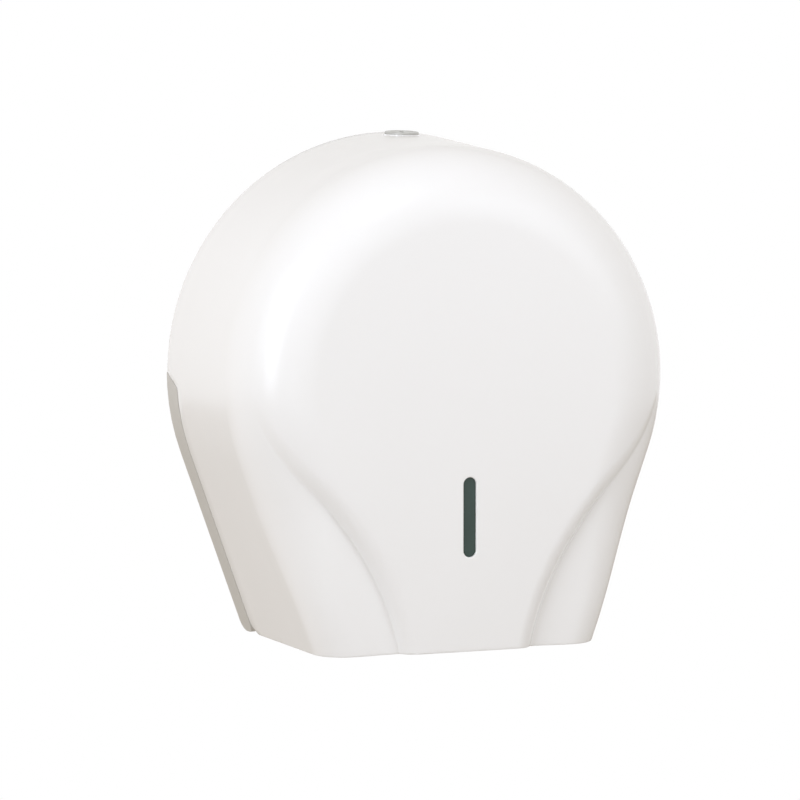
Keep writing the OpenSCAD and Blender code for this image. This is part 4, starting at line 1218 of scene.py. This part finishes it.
class DISPENSER_OT_strike(bpy.types.Operator):
    """Build the strike that the lock's cam turns behind, and its two screws"""

    bl_idname = "dispenser.strike"
    bl_label = "Strike"

    STRIKE_T = 1.5 * MM

    def execute(self, context):
        eased_copy("strike", "strike_plate", "plate", "steel", edge=0.45 * MM, segments=3)
        middle, reach = pair_of("strike_screws")
        low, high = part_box("strike_screws")
        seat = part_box("strike_plate")[1].y - self.STRIKE_T
        screw_d = context.scene.dispenser_fittings.screw_d
        screw = pan_screw(high.x - low.x, seat - low.y, screw_d, high.y - seat)
        screws = ring_of("strike_fixings", screw, count=2, radius=reach, turn=math.pi / 2, spin=0.6,
                         place=(middle.x, seat, middle.z))
        fitted(screws, "plate", "steel", "strike_screws")
        return {"FINISHED"}


class DISPENSER_OT_pins(bpy.types.Operator):
    """Build the two hinge pins"""

    bl_idname = "dispenser.pins"
    bl_label = "Hinge Pins"

    def execute(self, context):
        sizes = context.scene.dispenser_fittings
        head, shank, length = sizes.pin_head_d / 2, sizes.pin_d / 2, PIN_HIGH.x - PIN_LOW.x
        under, crown, tip = sizes.pin_head_t, 0.7 * MM, 0.8 * MM
        corners = [(0, 0, 0), (head, 0, crown), (head, under, 0.2 * MM), (shank, under, 0),
                   (shank, length, tip), (0, length, 0)]
        pin = turned("pin", rounded(corners), direction=(1, 0, 0), steps=64)
        pins = ring_of("hinge_pins", pin, count=2, radius=PIN_LOW.x, place=HINGE, facing=(0, 0, 0))
        fitted(pins, "plate", "steel", "hinge_pin_left", "hinge_pin_right")
        return {"FINISHED"}


class DISPENSER_OT_spindle(bpy.types.Operator):
    """Build the hollow spindle and the three screws through its flange"""

    bl_idname = "dispenser.spindle"
    bl_label = "Spindle"

    # The hole for the hub's screw, and the three screws on their circle.
    PILOT_R = 2.2 * MM
    PILOT_DEPTH = 14 * MM
    HEAD_D = 6.5 * MM
    HEAD_T = 1.8 * MM
    SCREW_D = 3.5 * MM
    SINK_EASE = 0.2 * MM
    CIRCLE = {"count": 3, "radius": 20 * MM, "turn": math.radians(30)}

    def execute(self, context):
        sizes = context.scene.dispenser_fittings
        low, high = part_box("spindle_screws")
        rear, front = -SPINDLE_HIGH.y, -SPINDLE_LOW.y
        face, floor = rear + sizes.flange_t, front - self.PILOT_DEPTH
        flange, shaft, bore = SPINDLE_HIGH.x, sizes.spindle_d / 2, sizes.spindle_bore / 2
        seat = -low.y - self.HEAD_T
        corners = [(bore, rear, 0.3 * MM), (flange, rear, 0.3 * MM), (flange, face, 0.8 * MM),
                   (shaft, face, 0.35 * MM), (shaft, front, 0.6 * MM), (self.PILOT_R, front, 0.2 * MM),
                   (self.PILOT_R, floor, 0), (bore, floor, 0)]
        spindle = turned("roll_spindle", rounded(corners))
        holes = [rod("hole", (0, 0, -MM), (0, 0, 1), self.SCREW_D / 2, 12 * MM),
                 rod("sink", (0, 0, seat), (0, 0, 1), self.HEAD_D / 2 + self.SINK_EASE, 6 * MM)]
        shaped(spindle, [ring_of("holes", hole, **self.CIRCLE) for hole in holes], "DIFFERENCE")
        fitted(shaded(spindle), "plate", "plate_grey", "spindle")
        screw = pan_screw(self.HEAD_D, self.HEAD_T, self.SCREW_D, seat + high.y)
        screws = ring_of("spindle_fixings", screw, spin=0.7, place=(0, -seat, 0), **self.CIRCLE)
        fitted(screws, "plate", "steel", "spindle_screws")
        return {"FINISHED"}


class DISPENSER_OT_hub(bpy.types.Operator):
    """Build the turning roll hub, its adapter for wide cores, and the washer and screw that hold it"""

    bl_idname = "dispenser.hub"
    bl_label = "Roll Hub"

    SCREW_D = 5 * MM
    WASHER_BORE_R = 2.7 * MM

    def execute(self, context):
        eased_copy("roll_hub", "core_hub", "hub", "hub_grey", edge=0.3 * MM)
        eased_copy("wide_core_ring", "core_adapter", "hub", "adapter_white", edge=0.25 * MM)
        low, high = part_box("hub_washer")
        bore, bore_edge, rim_edge = self.WASHER_BORE_R, 0.15 * MM, 0.3 * MM
        corners = [(bore, -high.y, bore_edge), (high.x, -high.y, rim_edge), (high.x, -low.y, rim_edge),
                   (bore, -low.y, bore_edge)]
        fitted(shaded(turned("washer", rounded(corners))), "plate", "steel", "hub_washer")
        head_low, head_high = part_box("hub_screw")
        screw = pan_screw(2 * head_high.x, low.y - head_low.y, self.SCREW_D, head_high.y - low.y)
        fitted(ring_of("hub_fixing", screw, place=(0, low.y, 0)), "plate", "steel", "hub_screw")
        return {"FINISHED"}


class DISPENSER_OT_studio(bpy.types.Operator):
    """Set up the camera, the lamps, the floor and the white surroundings"""

    bl_idname = "dispenser.studio"
    bl_label = "Studio"

    # Name, azimuth and elevation in degrees, width and height in metres, radiance, beam in degrees, whether
    # it lights the surfaces or shows in their gloss, and its tint.
    SOFT_BOXES = (("key_left", -60, 19, 0.9, 0.9, 4.75, 180, "diffuse", "cool"),
                  ("side_left", -120, -12, 0.9, 0.9, 0.5, 180, "diffuse", "warm"),
                  ("fill_above", 0, 55, 0.9, 0.9, 1.0, 180, "diffuse", "cool"),
                  ("fill_right", 38, 21, 0.9, 0.9, 3.3, 180, "diffuse", "cool"),
                  ("fill_behind", 180, 8, 0.9, 0.9, 0.6, 60, "diffuse", "cool"),
                  ("streak_left", -54, 15, 0.42, 1.1, 2.2, 180, "glossy", "cool"),
                  ("streak_above", -6, 50.5, 0.46, 0.3, 1.3, 180, "glossy", "cool"))
    LAMP_DISTANCE = 1.5
    POWER = 4                 # of a lamp, for each unit of radiance and square metre
    FLOOR_REACH = 6.0
    FLOOR_FADE = (0.5, 1.5)   # how far from the dispenser the floor begins and ends to turn white
    FLOOR_TONES = ((0.86, 0.86, 0.86), (0.9, 0.9, 0.9))

    def execute(self, context):
        studio = context.scene.dispenser_studio
        context.scene.view_settings.view_transform = "Standard"
        self.camera(context, studio)
        self.room(context, studio)
        for box in self.SOFT_BOXES:
            self.soft_box(context, studio, *box)
        return {"FINISHED"}

    @staticmethod
    def direction(azimuth, elevation):
        """Unit vector from the dispenser towards a place in the room."""
        return Vector((math.sin(azimuth) * math.cos(elevation), -math.cos(azimuth) * math.cos(elevation),
                       math.sin(elevation)))

    def camera(self, context, studio):
        """The camera, aimed at the spindle's foot, with its frame shifted so that it holds the dispenser."""
        data = bpy.data.cameras.new("camera")
        data.lens, data.sensor_width = studio.lens, 36
        data.shift_x, data.shift_y = studio.shift_x, studio.shift_y
        camera = bpy.data.objects.new("camera", data)
        back = self.direction(studio.azimuth, studio.elevation)
        camera.matrix_world = Matrix.Translation(back * studio.distance) @ toward(back)
        context.scene.collection.objects.link(camera)
        context.scene.camera = camera

    def soft_box(self, context, studio, name, azimuth, elevation, width, height, radiance, beam, task, tint):
        """A lamp that faces the dispenser from its place in the room."""
        lamp = bpy.data.lights.new(name, "AREA")
        lamp.shape, lamp.size, lamp.size_y = "RECTANGLE", width, height
        lamp.energy = radiance * self.POWER * width * height
        lamp.spread = math.radians(beam)
        lamp.color = studio.ambient_tint if tint == "warm" else studio.lamp_tint
        box = bpy.data.objects.new(name, lamp)
        back = self.direction(math.radians(azimuth), math.radians(elevation))
        box.matrix_world = Matrix.Translation(back * self.LAMP_DISTANCE) @ toward(back)
        box.visible_camera = False
        box.visible_glossy = task == "glossy"
        box.visible_diffuse = task == "diffuse"
        context.scene.collection.objects.link(box)

    def room(self, context, studio):
        """Even light on the surfaces, white surroundings where they are seen or mirrored, and the floor."""
        world = bpy.data.worlds.new("studio")
        context.scene.world = world
        world.use_nodes = True
        board = Board(world.node_tree)
        board.tree.nodes.clear()
        seen = board.node("ShaderNodeLightPath")
        shown = seen.larger(seen.beside("Is Glossy Ray")).larger(seen.beside("Is Transmission Ray"))
        colour = board.blend(shown, shade_of(studio.ambient_tint, studio.ambient), (1, 1, 1))
        sky = board.node("ShaderNodeBackground", {"Color": colour, "Strength": 1.0})
        board.node("ShaderNodeOutputWorld", {"Surface": sky})
        reach, drop = self.FLOOR_REACH, studio.floor_drop
        corners = [(x * reach, y * reach, -drop) for x, y in ((-1, -1), (1, -1), (1, 1), (-1, 1))]
        floor = piece_of("floor", corners, [(0, 1, 2, 3)])
        floor.data.materials.append(self.floor_finish())

    def floor_finish(self):
        """Pale floor that keeps the shadow, fades into the white surroundings and is clear from below."""
        finish = Finish("floor_white")
        across = finish.node("ShaderNodeSeparateXYZ", {"Vector": finish.place})
        along = across.beside("Y")
        far = finish.ramp((across * across + along * along).root(), *self.FLOOR_FADE)
        underside = finish.node("ShaderNodeNewGeometry").beside("Backfacing")
        seen = finish.node("ShaderNodeLightPath")
        tone = finish.blend(finish.noise(0.02, detail=3), *self.FLOOR_TONES)
        plain = finish.node("ShaderNodeBsdfDiffuse", {"Color": tone})
        white = finish.node("ShaderNodeEmission", {"Color": (1, 1, 1, 1), "Strength": 1.0})
        above = finish.node("ShaderNodeMixShader", {0: far * seen, 1: plain, 2: white})
        below = finish.node("ShaderNodeBsdfTransparent")
        mix = finish.node("ShaderNodeMixShader", {0: underside, 1: above, 2: below})
        finish.node("ShaderNodeOutputMaterial", {"Surface": mix})
        return finish.material


class DISPENSER_PT_panel(bpy.types.Panel):
    """Lists the steps that build the dispenser"""

    bl_idname = "DISPENSER_PT_panel"
    bl_label = "Jumbo Roll Dispenser"
    bl_space_type = "VIEW_3D"
    bl_region_type = "UI"
    bl_category = "Dispenser"

    def draw(self, context):
        for group in (context.scene.dispenser_cover, context.scene.dispenser_fittings,
                      context.scene.dispenser_finishes, context.scene.dispenser_studio):
            column = self.layout.column(align=True)
            for key in group.__annotations__:
                column.prop(group, key)
        for step in STEPS:
            self.layout.operator(step.bl_idname)


GROUPS = {"dispenser_cover": CoverSizes, "dispenser_fittings": FittingSizes, "dispenser_finishes": Finishes,
          "dispenser_studio": Studio}
STEPS = (DISPENSER_OT_cover, DISPENSER_OT_window, DISPENSER_OT_strip, DISPENSER_OT_lock, DISPENSER_OT_plate,
         DISPENSER_OT_strike, DISPENSER_OT_pins, DISPENSER_OT_spindle, DISPENSER_OT_hub, DISPENSER_OT_studio)


def register():
    for group in (*GROUPS.values(), *STEPS, DISPENSER_PT_panel):
        bpy.utils.register_class(group)
    for name, group in GROUPS.items():
        setattr(bpy.types.Scene, name, PointerProperty(type=group))


def unregister():
    for name in GROUPS:
        delattr(bpy.types.Scene, name)
    for group in (DISPENSER_PT_panel, *reversed(STEPS), *reversed(GROUPS.values())):
        bpy.utils.unregister_class(group)


def main():
    register()
    for step in STEPS:
        getattr(bpy.ops.dispenser, step.bl_idname.split(".")[1])()


if __name__ == "__main__":
    main()
